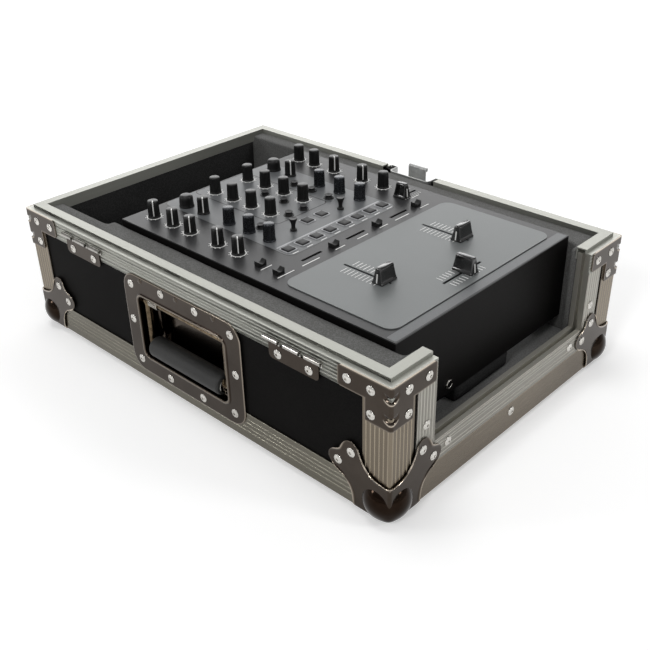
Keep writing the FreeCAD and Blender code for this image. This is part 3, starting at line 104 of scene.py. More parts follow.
@dataclass(frozen=True)
class Finish:
    """One real finish: its two tones, its grain in millimetres and how it shines."""

    name: str
    tone: str
    shade: str
    pattern: Pattern
    grain_mm: float
    stretch: float = 1.0
    relief_mm: float = 0.0
    patch_mm: float = 70.0
    patch_share: float = 0.35
    metallic: float = 0.0
    roughness: float = 0.5
    spread: float = 0.08
    specular: float = 0.5
    coat: float = 0.0
    drawn_share: float = 0.0

    def structure(self, tree: bpy.types.NodeTree) -> bpy.types.NodeSocket:
        """The grain as a height from 0 to 1.

        Args:
            tree: The material's node tree.

        Returns:
            The socket that carries the height.
        """
        if self.pattern is Pattern.BRUSHED:
            place = add(tree, "ShaderNodeUVMap", uv_map=GRAIN).outputs["UV"]
        else:
            place = add(tree, "ShaderNodeTexCoord").outputs["Object"]
        scale = (1.0 / self.stretch, 1.0, 1.0)
        mapped = add(tree, "ShaderNodeMapping", {"Vector": place, "Scale": scale}).outputs["Vector"]
        fine = 1.0 / (self.grain_mm * MM)
        if self.pattern in (Pattern.PEBBLED, Pattern.CELLULAR):
            cells = add(tree, "ShaderNodeTexVoronoi", {"Vector": mapped, "Scale": fine}).outputs["Distance"]
            up = self.pattern is Pattern.CELLULAR
            return add(tree, "ShaderNodeMapRange", {
                "Value": cells, "From Min": 0.0, "From Max": 0.9, "To Min": 0.0 if up else 1.0,
                "To Max": 1.0 if up else 0.0}).outputs["Result"]
        return add(tree, "ShaderNodeTexNoise", {
            "Vector": mapped, "Scale": fine, "Detail": 3.0, "Roughness": 0.6}).outputs["Fac"]

    def build(self) -> bpy.types.Material:
        """The finish as a node material, made once and then shared.

        Returns:
            The material.
        """
        made = bpy.data.materials.get(self.name)
        if made:
            return made
        made = bpy.data.materials.new(self.name)
        made.use_nodes = True
        made.diffuse_color = linear(self.tone)
        tree = made.node_tree
        shader = next(n for n in tree.nodes if n.type == "BSDF_PRINCIPLED")
        height = self.structure(tree)
        whole = add(tree, "ShaderNodeTexCoord").outputs["Object"]
        patches = add(tree, "ShaderNodeTexNoise", {
            "Vector": whole, "Scale": 1.0 / (self.patch_mm * MM), "Detail": 2.0}).outputs["Fac"]
        both = add(tree, "ShaderNodeMix", {0: self.patch_share, 2: height, 3: patches}).outputs[0]
        tone = add(tree, "ShaderNodeMapRange",
                   {"Value": both, "From Min": 0.3, "From Max": 0.7}).outputs["Result"]
        # Part of the colour follows each point's tone, which paints highlights and shade as well as wear.
        if self.drawn_share:
            drawn = add(tree, "ShaderNodeAttribute", attribute_name=WEAR_AND_PAINTED_LIGHT).outputs["Fac"]
            tone = add(tree, "ShaderNodeMix", {0: self.drawn_share, 2: tone, 3: drawn}).outputs[0]
        colours = {0: tone, 6: linear(self.shade), 7: linear(self.tone)}
        colour = add(tree, "ShaderNodeMix", colours, data_type="RGBA")
        tree.links.new(colour.outputs[2], shader.inputs["Base Color"])
        rough = add(tree, "ShaderNodeMapRange", {
            "Value": height, "To Min": max(self.roughness - self.spread, 0.02),
            "To Max": min(self.roughness + self.spread, 1.0)}).outputs["Result"]
        tree.links.new(rough, shader.inputs["Roughness"])
        shader.inputs["Metallic"].default_value = self.metallic
        shader.inputs["Specular IOR Level"].default_value = self.specular
        shader.inputs["Coat Weight"].default_value = self.coat
        shader.inputs["Coat Roughness"].default_value = 0.12
        if self.relief_mm:
            bump = add(tree, "ShaderNodeBump", {
                "Height": height, "Distance": self.relief_mm * MM, "Strength": 1.0})
            tree.links.new(bump.outputs["Normal"], shader.inputs["Normal"])
        return made


# Phenolic laminate on plywood, pressed on a fine plate: near black, with a faint dull grain.
LAMINATE = Finish("phenolic_laminate", "151413", "0a0909", Pattern.PEBBLED, 1.6, relief_mm=0.05,
                  roughness=0.55, specular=0.03)
# Mill-finish extruded aluminium: warm grey with die lines along its length, its grooves painted bright as
# highlights.
EXTRUSION = Finish("extruded_aluminium", "aaa698", "28231b", Pattern.BRUSHED, 0.35, stretch=400.0,
                   relief_mm=0.004, patch_mm=160.0, metallic=1.0, roughness=0.27, spread=0.06,
                   drawn_share=0.8)
# The opening's extrusions: a paler, cooler aluminium, a painted highlight for the bright light on them.
CHANNEL = Finish("channel_aluminium_painted_light", "cdcac0", "3a362e", Pattern.BRUSHED, 0.35, stretch=400.0,
                 relief_mm=0.004, patch_mm=160.0, metallic=0.6, roughness=0.34, spread=0.06, drawn_share=0.8)
# Steel stamped and plated in black nickel: a deep brown mirror, bright along its edges from wear and from a
# painted highlight.
PLATING = Finish("black_nickel_steel", "cfc3b4", "1c110a", Pattern.MOTTLED, 30.0, patch_mm=55.0,
                 metallic=1.0, roughness=0.13, spread=0.03, drawn_share=0.97)
# The aluminium warmed to a light bronze on the corner posts and the front: a painted warm reflection.
WARM = Finish("aluminium_painted_warm_reflection", "a89d8b", "2b211a", Pattern.BRUSHED, 0.35, stretch=400.0,
              relief_mm=0.004, patch_mm=160.0, metallic=1.0, roughness=0.27, spread=0.06, drawn_share=0.8)
# Bright zinc plate, pale and a little dull.
ZINC = Finish("zinc_plate", "c4c5c3", "8e8f8e", Pattern.MOTTLED, 12.0, patch_mm=40.0, metallic=0.5,
              roughness=0.32, spread=0.05)
# The rim's extrusion, paler and cooler than the rest: a painted highlight for the light that falls on the
# case's top.
RIM = Finish("rim_aluminium_painted_light", "cdcec6", "56554c", Pattern.BRUSHED, 0.35, stretch=400.0,
             relief_mm=0.004, patch_mm=160.0, metallic=0.5, roughness=0.42, spread=0.06, drawn_share=0.8)
# Bright chrome: the bail, and the hinge's rolled barrel.
CHROME = Finish("bright_chrome", "c4c2bd", "8b8782", Pattern.MOTTLED, 5.0, patch_mm=25.0, metallic=1.0,
                roughness=0.12, spread=0.04)
# Brass-toned chrome over worn wire.
WIRE = Finish("worn_bail_wire", "857660", "3d3226", Pattern.MOTTLED, 4.0, patch_mm=25.0, metallic=1.0,
              roughness=0.18, spread=0.04)
# Aluminium pop rivets, tumbled bright.
RIVET = Finish("tumbled_rivet", "e6e4df", "aaa69f", Pattern.MOTTLED, 1.2, metallic=1.0, roughness=0.22)
# Spring steel wire, oiled.
SPRING = Finish("spring_wire", "c2bfb8", "8d8880", Pattern.MOTTLED, 1.5, metallic=1.0, roughness=0.26)
# Moulded rubber: black, dull and slightly dusty.
RUBBER = Finish("moulded_rubber", "333332", "222221", Pattern.PEBBLED, 0.8, relief_mm=0.06, roughness=0.55,
                specular=0.4)
# Closed-cell polyethylene foam: mid grey, a fine even cell that takes no shine.
FOAM = Finish("grey_cell_foam", "6a6a69", "565654", Pattern.CELLULAR, 1.5, relief_mm=0.35, roughness=0.95,
              spread=0.04, specular=0.15, patch_mm=45.0)
# The same foam on the floor, painted paler to lift the shade that falls there.
LIT_FOAM = Finish("cell_foam_painted_lit", "9c9c9b", "828281", Pattern.CELLULAR, 1.5, relief_mm=0.35,
                   roughness=0.95, spread=0.04, specular=0.15, patch_mm=45.0)
# The same foam in black, under the desk and behind it.
BLACK_FOAM = Finish("black_cell_foam", "343434", "232323", Pattern.CELLULAR, 1.7, relief_mm=0.4,
                    roughness=0.95, spread=0.04, specular=0.15)
# Powder coat on folded steel: black, with a fine orange peel.
POWDER = Finish("powder_coat", "131211", "0d0c0c", Pattern.PEBBLED, 0.9, relief_mm=0.03, roughness=0.5,
                specular=0.06)
# Baked enamel on the desk's top: dark grey, smooth and half gloss.
ENAMEL = Finish("panel_enamel", "2e2e2f", "272728", Pattern.MOTTLED, 2.0, relief_mm=0.004, patch_mm=120.0,
                roughness=0.4, specular=0.3)
# The top's printed centre: the same enamel over a paler ground.
ZONE = Finish("panel_enamel_pale", "626466", "565859", Pattern.MOTTLED, 2.0, relief_mm=0.004,
              patch_mm=120.0, roughness=0.4, specular=0.3)
# Dark print round the zones.
OUTLINE = Finish("printed_outline", "121213", "0d0d0e", Pattern.MOTTLED, 1.5, roughness=0.4, specular=0.35)
# Fader plate: aluminium, blasted and clear anodised, so an even cool grey.
ANODISED = Finish("blasted_anodised", "717474", "696c6c", Pattern.PEBBLED, 0.7, relief_mm=0.01,
                  metallic=0.25, roughness=0.5, patch_mm=90.0)
# Screen-printed ink: a chalky white.
INK = Finish("screen_ink", "ececea", "dadad7", Pattern.MOTTLED, 1.2, roughness=0.6, specular=0.3)
# Knobs: moulded ABS, satin black.
KNOB = Finish("satin_abs", "131313", "0c0c0c", Pattern.MOTTLED, 1.2, relief_mm=0.01, roughness=0.34,
              specular=0.4)
# Trim knobs: turned aluminium with a grey anodising.
METAL_KNOB = Finish("grey_turned_cap", "484a4d", "222326", Pattern.MOTTLED, 0.8, metallic=0.85,
                    roughness=0.26)
# Fader caps: polished ABS, glossy black.
CAP = Finish("gloss_abs", "0f0f0f", "090909", Pattern.MOTTLED, 1.5, roughness=0.16, specular=0.6, coat=0.4)
# Pads: silicone rubber with a soft skin.
PAD = Finish("silicone_pad", "1e1e1f", "171718", Pattern.MOTTLED, 1.0, relief_mm=0.01, roughness=0.5,
             specular=0.4)
# Frame of each pad: painted a pale grey.
PAD_FRAME = Finish("pad_frame_paint", "a4a5a7", "909193", Pattern.MOTTLED, 1.0, roughness=0.45)
# Switches: moulded nylon, matt black.
SWITCH = Finish("matt_nylon", "121212", "0d0d0d", Pattern.PEBBLED, 0.7, relief_mm=0.01, roughness=0.45,
                specular=0.35)
# Painted shade: a near-black that stands for the dark inside an open bore or slot.
HOLLOW_SHADE = Finish("painted_hollow_shade", "060606", "040404", Pattern.MOTTLED, 1.0, roughness=0.9, specular=0.1)


# Surfaces
@dataclass
class Surface:
    """Points in millimetres, faces as lists of point numbers, and what each point carries.

    A point carries its place along and across the grain, and a tone from 0 to 1 that holds wear together
    with painted highlights and painted shade.
    """

    points: np.ndarray
    faces: list
    grain: np.ndarray | None = None
    tone: np.ndarray | None = None

    def __post_init__(self) -> None:
        """Give a surface without a grain its own height and width as one."""
        if self.grain is None:
            self.grain = self.points[:, [2, 0]] + self.points[:, [2, 1]] * (0.0, 1.0)
        if self.tone is None:
            self.tone = np.full(len(self.points), 0.6)

    def moved(self, x: float = 0.0, y: float = 0.0, z: float = 0.0) -> "Surface":
        """The surface shifted by (x, y, z)."""
        return Surface(self.points + (x, y, z), self.faces, self.grain, self.tone)

    def mapped(self, rows: tuple) -> "Surface":
        """The surface through a linear map, with its faces turned round where the map mirrors.

        Args:
            rows: The map's three rows M, so that P' = M P.

        Returns:
            The mapped surface.
        """
        matrix = np.array(rows, float)
        faces = self.faces if np.linalg.det(matrix) > 0 else [face[::-1] for face in self.faces]
        return Surface(self.points @ matrix.T, faces, self.grain, self.tone)

    def turned(self, quarters: int) -> "Surface":
        """The surface turned about Z by quarter turns."""
        cos, sin = round(math.cos(quarters * math.pi / 2)), round(math.sin(quarters * math.pi / 2))
        return self.mapped(((cos, -sin, 0), (sin, cos, 0), (0, 0, 1)))

    def mirrored(self, x: int, y: int) -> "Surface":
        """The surface with x and y multiplied by signs."""
        return self.mapped(((x, 0, 0), (0, y, 0), (0, 0, 1)))

    def toned(self, tone: float) -> "Surface":
        """The surface with one tone all over."""
        return Surface(self.points, self.faces, self.grain, np.full(len(self.points), tone))


# Tones of a drawn section: its plain lands, the painted highlight on a groove's flanks, and the painted
# highlight along the last edge with its width.
LAND_TONE = 0.34
FLANK_HIGHLIGHT = 0.8
EDGE_HIGHLIGHT = 0.95
EDGE_HIGHLIGHT_WIDTH = 1.2
# Tone of the flat of a plated sheet.
PLATE_TONE = 0.05
# Axes of a piece whose own Z points along x or along y.
FACING_X = ((0, 0, 1), (1, 0, 0), (0, 1, 0))
FACING_Y = ((1, 0, 0), (0, 0, 1), (0, -1, 0))


def merged(parts: list) -> Surface:
    """Several surfaces as one.

    Args:
        parts: The surfaces.

    Returns:
        One surface with all their points and faces.
    """
    starts = np.cumsum([0] + [len(part.points) for part in parts[:-1]]).tolist()
    faces = [[index + start for index in face] for part, start in zip(parts, starts) for face in part.faces]
    columns = ([getattr(part, field) for part in parts] for field in ("points", "grain", "tone"))
    points, grain, tone = (np.concatenate(column) for column in columns)
    return Surface(points, faces, grain, tone)


def grid_faces(rows: int, columns: int, closed: bool = False) -> list:
    """Quads between neighbouring points of a grid: (i, j), (i, j+1), (i+1, j+1), (i+1, j).

    Args:
        rows: Number of rows.
        columns: Number of columns.
        closed: Whether the last column joins the first.

    Returns:
        The faces.
    """
    i, j = np.meshgrid(np.arange(rows - 1), np.arange(columns if closed else columns - 1), indexing="ij")
    k = (j + 1) % columns
    here, after = i * columns, (i + 1) * columns
    quads = np.stack([here + j, here + k, after + k, after + j], axis=-1)
    return quads.reshape(-1, 4).tolist()


def loft(rings: np.ndarray, first: bool = True, last: bool = True,
         grain: np.ndarray | None = None) -> Surface:
    """Closed rings joined one to the next, P(i, j) = ring_i(j), with flat ends.

    Args:
        rings: Rings by points by three.
        first: Whether the first ring is capped.
        last: Whether the last ring is capped.
        grain: Places along and across the grain.

    Returns:
        The surface.
    """
    count, columns = rings.shape[:2]
    faces = grid_faces(count, columns, closed=True)
    if first:
        faces.append(list(range(columns - 1, -1, -1)))
    if last:
        faces.append(list(range((count - 1) * columns, count * columns)))
    return Surface(rings.reshape(-1, 3), faces, grain)


def prism(outline: np.ndarray, low: float, high: float) -> Surface:
    """A plane outline carried up from low to high: P = (x, y, low or high).

    Args:
        outline: Points as (x, y), or as (x, y, tone).
        low: Lower height.
        high: Upper height.

    Returns:
        The closed surface, with its grain along Z.
    """
    outline = np.asarray(outline, float)
    flat = outline[:, :2]
    around = np.concatenate([[0.0], np.cumsum(np.linalg.norm(np.diff(flat, axis=0), axis=1))])
    rings = np.stack([np.column_stack([flat, np.full(len(flat), z)]) for z in (low, high)])
    grain = [np.column_stack([np.full(len(flat), z), around]) for z in (low, high)]
    made = loft(rings, grain=np.concatenate(grain))
    if outline.shape[1] > 2:
        made.tone = np.tile(outline[:, 2], 2)
    return made


def bar(section: np.ndarray, start: float, end: float, mitres: tuple = (0.0, 0.0)) -> Surface:
    """A section (out, up) carried along the run: P = (out, run, up), run = end - mitre (outmost - out).

    Args:
        section: Closed outline as (out, up), or as (out, up, tone).
        start: First place of the outmost edge.
        end: Last place of the outmost edge.
        mitres: 1 for a 45 degree end, 0 for a square one, at the start and the end.

    Returns:
        The closed bar, with its grain along the run.
    """
    section = np.asarray(section, float)
    inset = section[:, 0].max() - section[:, 0]
    around = np.concatenate([[0.0], np.cumsum(np.linalg.norm(np.diff(section[:, :2], axis=0), axis=1))])
    runs = (start + mitres[0] * inset, end - mitres[1] * inset)
    rings = np.stack([np.column_stack([section[:, 0], run, section[:, 1]]) for run in runs])
    made = loft(rings, grain=np.concatenate([np.column_stack([run, around]) for run in runs]))
    if section.shape[1] > 2:
        made.tone = np.tile(section[:, 2], 2)
    return made


def grooved(level: float, low: float, high: float, centres: np.ndarray, width: float,
            depth: float) -> np.ndarray:
    """A straight line of a section with V grooves in it, as (level, place, tone) from low to high.

    The grooves' cut sides and bottoms and the last edge are painted bright as highlights, the lands between
    are darker.

    Args:
        level: Where the plain face lies.
        low: First place along the face.
        high: Last place along the face.
        centres: Places of the grooves.
        width: Mouth of a groove.
        depth: Depth of a groove.

    Returns:
        Points by three.
    """
    places = (np.asarray(centres)[:, None] + np.array([-0.8, -0.5, -0.15, 0.15, 0.5, 0.8]) * width).ravel()
    levels = np.tile([level, level, level - depth, level - depth, level, level], len(centres))
    tones = np.tile([LAND_TONE, FLANK_HIGHLIGHT, 1.0, 1.0, FLANK_HIGHLIGHT, LAND_TONE], len(centres))
    ends = np.array([high - EDGE_HIGHLIGHT_WIDTH * np.sign(high - low), high])
    return np.column_stack([np.concatenate([[level], levels, [level, level]]),
                            np.concatenate([[low], places, ends]),
                            np.concatenate([[LAND_TONE], tones, [LAND_TONE, EDGE_HIGHLIGHT]])])


def plain(points: list, tone: float = 0.6) -> np.ndarray:
    """Points of a section that all carry one tone."""
    return np.column_stack([np.asarray(points, float), np.full(len(points), tone)])


def rounded_outline(half_a: float, half_b: float, radius: float, steps: int = 6) -> np.ndarray:
    """A rounded rectangle: four arcs of one radius, centre (±(a - r), ±(b - r)).

    Args:
        half_a: Half the width.
        half_b: Half the height.
        radius: Radius of the corners.
        steps: Points of an arc.

    Returns:
        Points by two, against the clock.
    """
    angles = np.radians(np.linspace(0, 90, steps))[None, :] + np.radians([0, 90, 180, 270])[:, None]
    centre_a = np.array([1, -1, -1, 1])[:, None] * (half_a - radius)
    centre_b = np.array([1, 1, -1, -1])[:, None] * (half_b - radius)
    flat = np.stack([centre_a + radius * np.cos(angles), centre_b + radius * np.sin(angles)], axis=-1)
    return flat.reshape(-1, 2)


def rounded_stack(levels: list, steps: int = 6, first: bool = True, last: bool = True) -> Surface:
    """Rounded rectangles joined from level to level: P(i, j) = (outline_i(j), z_i).

    Args:
        levels: (half width, half height, corner radius, z) of each.
        steps: Points of a corner.
        first: Whether the first is capped.
        last: Whether the last is capped.

    Returns:
        The surface.
    """
    rings = [np.column_stack([rounded_outline(*outline, steps), np.full(4 * steps, z)])
             for *outline, z in levels]
    return loft(np.stack(rings), first, last)


def lathe(profile: list, segments: int = 32, flutes: int = 0, depth: float = 0.0) -> Surface:
    """A profile turned about Z: P = (r f(t) cos t, r f(t) sin t, z), f(t) = 1 - d (1 - cos(n t)) / 2.

    Args:
        profile: (radius, height) of each ring.
        segments: Points round a ring.
        flutes: Number n of flutes.
        depth: Depth d of a flute, as a share of the radius.

    Returns:
        The surface, capped at both ends.
    """
    rows = np.array(profile, float)
    turn = np.linspace(0, 2 * math.pi, segments, endpoint=False)
    wave = 1 - depth * (1 - np.cos(flutes * turn)) / 2
    radius = rows[:, :1] * wave[None, :]
    height = np.repeat(rows[:, 1:], segments, axis=1)
    return loft(np.stack([radius * np.cos(turn), radius * np.sin(turn), height], axis=-1))


def tube(corners: list, bend: float, radius: float, level: float, segments: int = 16) -> Surface:
    """A rod along a plane path with rounded corners: P(s, t) = c(s) + r (cos t X + sin t N(s)).

    Args:
        corners: The path's corners as (y, z).
        bend: Radius of the bends.
        radius: Radius of the rod.
        level: The path's place in x.
        segments: Points round the rod.

    Returns:
        The closed rod.
    """
    path = np.array(corners, float)
    before, at, after = path[:-2], path[1:-1], path[2:]
    into = (before - at) / np.linalg.norm(before - at, axis=1, keepdims=True)
    out = (after - at) / np.linalg.norm(after - at, axis=1, keepdims=True)
    share = np.linspace(0, 1, 9)[None, :, None]
    curve = at[:, None] + bend * (into[:, None] * (1 - share) ** 2 + out[:, None] * share ** 2)
    line = np.concatenate([path[:1], curve.reshape(-1, 2), path[-1:]])
    ahead = np.gradient(line, axis=0)
    ahead /= np.linalg.norm(ahead, axis=1, keepdims=True)
    side = np.column_stack([-ahead[:, 1], ahead[:, 0]])
    turn = np.linspace(0, 2 * math.pi, segments, endpoint=False)
    x = level + radius * np.cos(turn)[None, :] + np.zeros((len(line), 1))
    y = line[:, :1] + side[:, :1] * radius * np.sin(turn)
    z = line[:, 1:] + side[:, 1:] * radius * np.sin(turn)
    return loft(np.stack([x, y, z], axis=-1))


def blocks(centres: np.ndarray, sizes: np.ndarray, angles: np.ndarray | float = 0.0) -> Surface:
    """Small blocks, each turned about Z by its angle: P = centre + R(angle) (±w/2, ±d/2, ±h/2).

    Args:
        centres: Blocks by three.
        sizes: Width, depth and height of each, or of all.
        angles: Turn of each in radians.

    Returns:
        All blocks as one surface.
    """
    centres = np.asarray(centres, float).reshape(-1, 3)
    half = np.broadcast_to(np.asarray(sizes, float), centres.shape) / 2
    signs = np.array([[-1, -1, -1], [1, -1, -1], [1, 1, -1], [-1, 1, -1],
                      [-1, -1, 1], [1, -1, 1], [1, 1, 1], [-1, 1, 1]])
    local = signs[None] * half[:, None]
    turn = np.broadcast_to(np.asarray(angles, float), len(centres))[:, None]
    x = local[..., 0] * np.cos(turn) - local[..., 1] * np.sin(turn)
    y = local[..., 0] * np.sin(turn) + local[..., 1] * np.cos(turn)
    points = centres[:, None] + np.stack([x, y, local[..., 2]], axis=-1)
    quads = np.array([[3, 2, 1, 0], [4, 5, 6, 7], [0, 1, 5, 4], [1, 2, 6, 5], [2, 3, 7, 6], [3, 0, 4, 7]])
    faces = (quads[None] + 8 * np.arange(len(centres))[:, None, None]).reshape(-1, 4).tolist()
    return Surface(points.reshape(-1, 3), faces)


@dataclass
class Piece:
    """How a surface becomes an object: its finish, its body and the edges it is given."""

    name: str
    surface: Surface
    finish: Finish
    body: str
    slot: str
    replaces: tuple = ()
    closed: bool = True
    wall: float = 0.0
    bevel: float = 0.0
    segments: int = 2
    crease: float = 35.0

    def mesh(self) -> bpy.types.Mesh:
        """The surface as a mesh in metres: welded, facing outwards and carrying its grain as a UV map.

        Returns:
            The mesh.
        """
        made = bpy.data.meshes.new(self.name)
        made.from_pydata((self.surface.points * MM).tolist(), [], self.surface.faces)
        corners = np.zeros(len(made.loops), np.int32)
        made.loops.foreach_get("vertex_index", corners)
        layer = made.uv_layers.new(name=GRAIN)
        layer.data.foreach_set("uv", (self.surface.grain[corners] * MM).astype(np.float32).ravel())
        if self.finish.drawn_share:
            worn = made.attributes.new(WEAR_AND_PAINTED_LIGHT, "FLOAT", "POINT")
            worn.data.foreach_set("value", self.surface.tone.astype(np.float32))
        cleaned = bmesh.new()
        cleaned.from_mesh(made)
        bmesh.ops.remove_doubles(cleaned, verts=cleaned.verts, dist=2e-6)
        bmesh.ops.dissolve_degenerate(cleaned, edges=cleaned.edges, dist=1e-6)
        if self.closed:
            bmesh.ops.recalc_face_normals(cleaned, faces=cleaned.faces)
        cleaned.to_mesh(made)
        cleaned.free()
        made.shade_smooth()
        if not self.bevel:
            made.set_sharp_from_angle(angle=math.radians(self.crease))
        return made

    def place(self) -> bpy.types.Object:
        """Make the object, finish its edges, and hang it on its body.

        Returns:
            The object.
        """
        made = bpy.data.objects.new(self.name, self.mesh())
        bpy.context.scene.collection.objects.link(made)
        made.data.materials.append(self.finish.build())
        if self.wall:
            solid = made.modifiers.new("wall", "SOLIDIFY")
            solid.thickness = self.wall * MM
            solid.offset = -1.0
        if self.bevel:
            edge = made.modifiers.new("edge", "BEVEL")
            edge.width = self.bevel * MM
            edge.segments = self.segments
            edge.limit_method = "ANGLE"
            edge.angle_limit = math.radians(self.crease)
            edge.harden_normals = True
        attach(made, self.body)
        if self.replaces:
            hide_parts(*self.replaces)
        log.info("%s: %d faces in %s on %s", self.name, len(made.data.polygons), self.finish.name, self.body)
        return made


def dress(node: str, finish: Finish) -> None:
    """Give a CAD node its finish.

    Args:
        node: The node's name.
        finish: The finish.
    """
    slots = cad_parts[node].data.materials
    slots.clear()
    slots.append(finish.build())
    log.info("%s: CAD shape in %s", node, finish.name)


def middle(node: str) -> tuple:
    """A node's middle and lowest and highest points, in millimetres.

    Args:
        node: The node's name.

    Returns:
        The middle, the lowest corner and the highest corner.
    """
    low, high = (np.array(corner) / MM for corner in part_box(node))
    return (low + high) / 2, low, high


# The case
@dataclass(frozen=True)
class CaseSize:
    """Places of the case's faces from its middle and from the floor, in millimetres."""

    side: float = 198.0
    end: float = 289.0
    board_end: float = 287.5
    under: float = 7.5
    ledge: float = 161.5
    tongue: float = 165.5
    skin: float = 1.5
    opening: float = 133.5
    sill: float = 67.5


SIZE = CaseSize()


@dataclass
class Boards:
    """The boards of laminated plywood, which keep their CAD shapes."""

    nodes: tuple = ("left_panel", "right_panel", "back_panel", "front_panel", "floor_panel")

    def build(self) -> None:
        """Dress every board."""
        for node in self.nodes:
            dress(node, LAMINATE)


@dataclass
class Extrusions:
    """The aluminium round the case: rim, foot, corner posts and the front opening's channels."""

    rim_flange: float = 138.0
    ledge_width: float = 6.3
    rim_width: float = 18.1
    rim_leg: float = 151.5
    latch_gap: float = 41.8
    foot_top: float = 41.0
    foot_leg: float = 33.5
    post_leg: float = 33.0
    post_round: float = 3.0
    channel_body: float = 10.0
    channel_flange: float = 27.0
    channel_back: float = 273.0
    groove: tuple = (283.5, 278.5, 7.0)
    rib_width: float = 1.1
    rib_depth: float = 0.45
    corner_cut: float = 12.0

    def rim_section(self, outmost: float) -> np.ndarray:
        """The rim's section: ribbed flange, ledge, hollow tongue and inner leg, as (out, up)."""
        skin = SIZE.skin
        ribs = np.arange(142.2, SIZE.ledge - 3, 3.9)
        face = grooved(outmost, self.rim_flange, SIZE.ledge, ribs, self.rib_width, self.rib_depth)
        step = outmost - self.ledge_width
        inner = outmost - self.rim_width
        rest = [(step, SIZE.ledge), (step, SIZE.tongue), (inner, SIZE.tongue), (inner, self.rim_leg),
                (inner + skin, self.rim_leg), (inner + skin, SIZE.tongue - skin),
                (step - skin, SIZE.tongue - skin), (step - skin, SIZE.ledge - skin),
                (outmost - skin, SIZE.ledge - skin), (outmost - skin, self.rim_flange)]
        # The ledge, tongue and inner leg carry a paler tone than the flange's lands: a painted highlight for
        # the light on the rim's top.
        return np.concatenate([face, plain(rest, 0.5)])

    def rim(self) -> Surface:
        """The rim: whole on the left and back, parted at the latch and cut short at the front."""
        side, end = self.rim_section(SIZE.side), self.rim_section(SIZE.end)
        stub = SIZE.opening
        return merged([
            bar(side, -SIZE.end, SIZE.end, (1, 1)).turned(2),
            bar(end, -SIZE.side, SIZE.side, (1, 1)).turned(1),
            bar(side, -SIZE.end, -self.latch_gap, (1, 0)),
            bar(side, self.latch_gap, SIZE.end, (0, 1)),
            bar(end, -SIZE.side, -stub, (1, 0)).turned(3),
            bar(end, stub, SIZE.side, (0, 1)).turned(3),
        ])

    def foot(self, ribs: tuple, sides: tuple) -> Surface:
        """The angles round the foot: a plain band, then ribs, each cut short inside the ball corners.

        Args:
            ribs: Heights of the ribs.
            sides: The quarter turns from the right side at which an angle lies.

        Returns:
            The angles.
        """
        parts = []
        for quarters in sides:
            outmost, half = (SIZE.side, SIZE.end) if quarters % 2 == 0 else (SIZE.end, SIZE.side)
            face = grooved(outmost, SIZE.under, self.foot_top, ribs, self.rib_width, self.rib_depth)
            skin = SIZE.skin
            rest = [(outmost - skin, self.foot_top), (outmost - skin, SIZE.under + skin),
                    (outmost - self.foot_leg, SIZE.under + skin), (outmost - self.foot_leg, SIZE.under)]
            section = np.concatenate([face, plain(rest)])
            reach = half - self.corner_cut
            parts.append(bar(section, -reach, reach, (1, 1)).turned(quarters))
        return merged(parts)

    def posts(self) -> Surface:
        """The upright angles of the four corners, with a rounded fold and shallow ribs."""
        leg, skin, radius = self.post_leg, SIZE.skin, self.post_round
        ribs = np.arange(8.0, leg - 3, 5.2)
        flat = grooved(0.0, leg, radius, ribs[::-1], -1.1, -0.45)
        turn = np.radians(np.linspace(0, 90, 7))[1:-1]
        fold = np.column_stack([radius * (1 - np.cos(turn)), radius * (1 - np.sin(turn))])
        # The rounded fold carries a paler tone: a painted highlight along the post's corner.
        outer = np.concatenate([flat, plain(fold, 0.5), flat[::-1, [1, 0, 2]]])
        section = np.concatenate([outer, plain([(leg, skin), (skin, skin), (skin, leg)])])
        section[:, :2] = np.array([SIZE.side, SIZE.end]) - section[:, :2]
        post = prism(section, self.foot_top + 0.3, self.rim_flange - 0.3)
        return merged([post.mirrored(x, y) for x in (1, -1) for y in (1, -1)])

    def opening(self) -> Surface:
        """The front opening's channels: two grooved posts with ribbed flanges, and a grooved sill."""
        near, far = SIZE.opening, SIZE.opening + self.channel_body
        wide = SIZE.opening + self.channel_flange
        front, face, back = SIZE.board_end, SIZE.end, self.channel_back
        mouth, heel, deep = self.groove
        body = np.array([(near, -front), (far, -front), (far, -back), (near, -back), (near, -heel),
                         (near + deep, -heel), (near + deep, -mouth), (near, -mouth)])
        low = SIZE.sill - self.channel_body
        ribs = np.arange(near + 4.0, wide - 2, 4.6)
        flange = grooved(-face, near, wide, ribs, self.rib_width, -self.rib_depth)[:, [1, 0, 2]]
        flange = np.concatenate([flange, plain([(wide, -front), (near, -front)])])
        post = merged([prism(body, low, 160.0), prism(flange, low, self.rim_flange - 0.3)])
        sill_ribs = np.array([46.0, 50.6])
        base = grooved(face, self.foot_top + 0.3, low - 0.3, sill_ribs, self.rib_width, self.rib_depth)
        base = np.concatenate([base, plain([(front, low - 0.3), (front, self.foot_top + 0.3)])])
        upper = grooved(face, low - 0.3, SIZE.sill, np.array([60.2, 64.4]), self.rib_width, self.rib_depth)
        # The sill's top and its groove carry a near-full tone: a painted highlight that also lifts the shade
        # in the groove.
        upper = np.concatenate([upper, plain([
            (mouth, SIZE.sill), (mouth, SIZE.sill - deep), (heel, SIZE.sill - deep), (heel, SIZE.sill),
            (back, SIZE.sill), (back, low - 0.3)], 0.9)])
        return merged([post, post.mirrored(-1, 1), bar(base, -wide, wide).turned(3),
                       bar(upper, 0.3 - near, near - 0.3).turned(3)])

    def build(self) -> None:
        """Make and dress every extrusion."""
        Piece("rim_bars", self.rim(), RIM, "case", "extrusion", ("rim_extrusions",), bevel=0.12).place()
        ribbed = self.foot((17.6, 23.0, 28.4, 33.4), (0, 1, 2))
        Piece("foot_bars", ribbed, EXTRUSION, "case", "extrusion", ("bottom_angles",), bevel=0.12).place()
        Piece("front_foot_bar", self.foot((), (3,)), WARM, "case", "extrusion", bevel=0.3).place()
        Piece("corner_posts", self.posts(), WARM, "case", "extrusion", ("corner_angles",),
              bevel=0.12).place()
        Piece("opening_frame", self.opening(), CHANNEL, "case", "extrusion", ("opening_channels",),
              bevel=0.12).place()


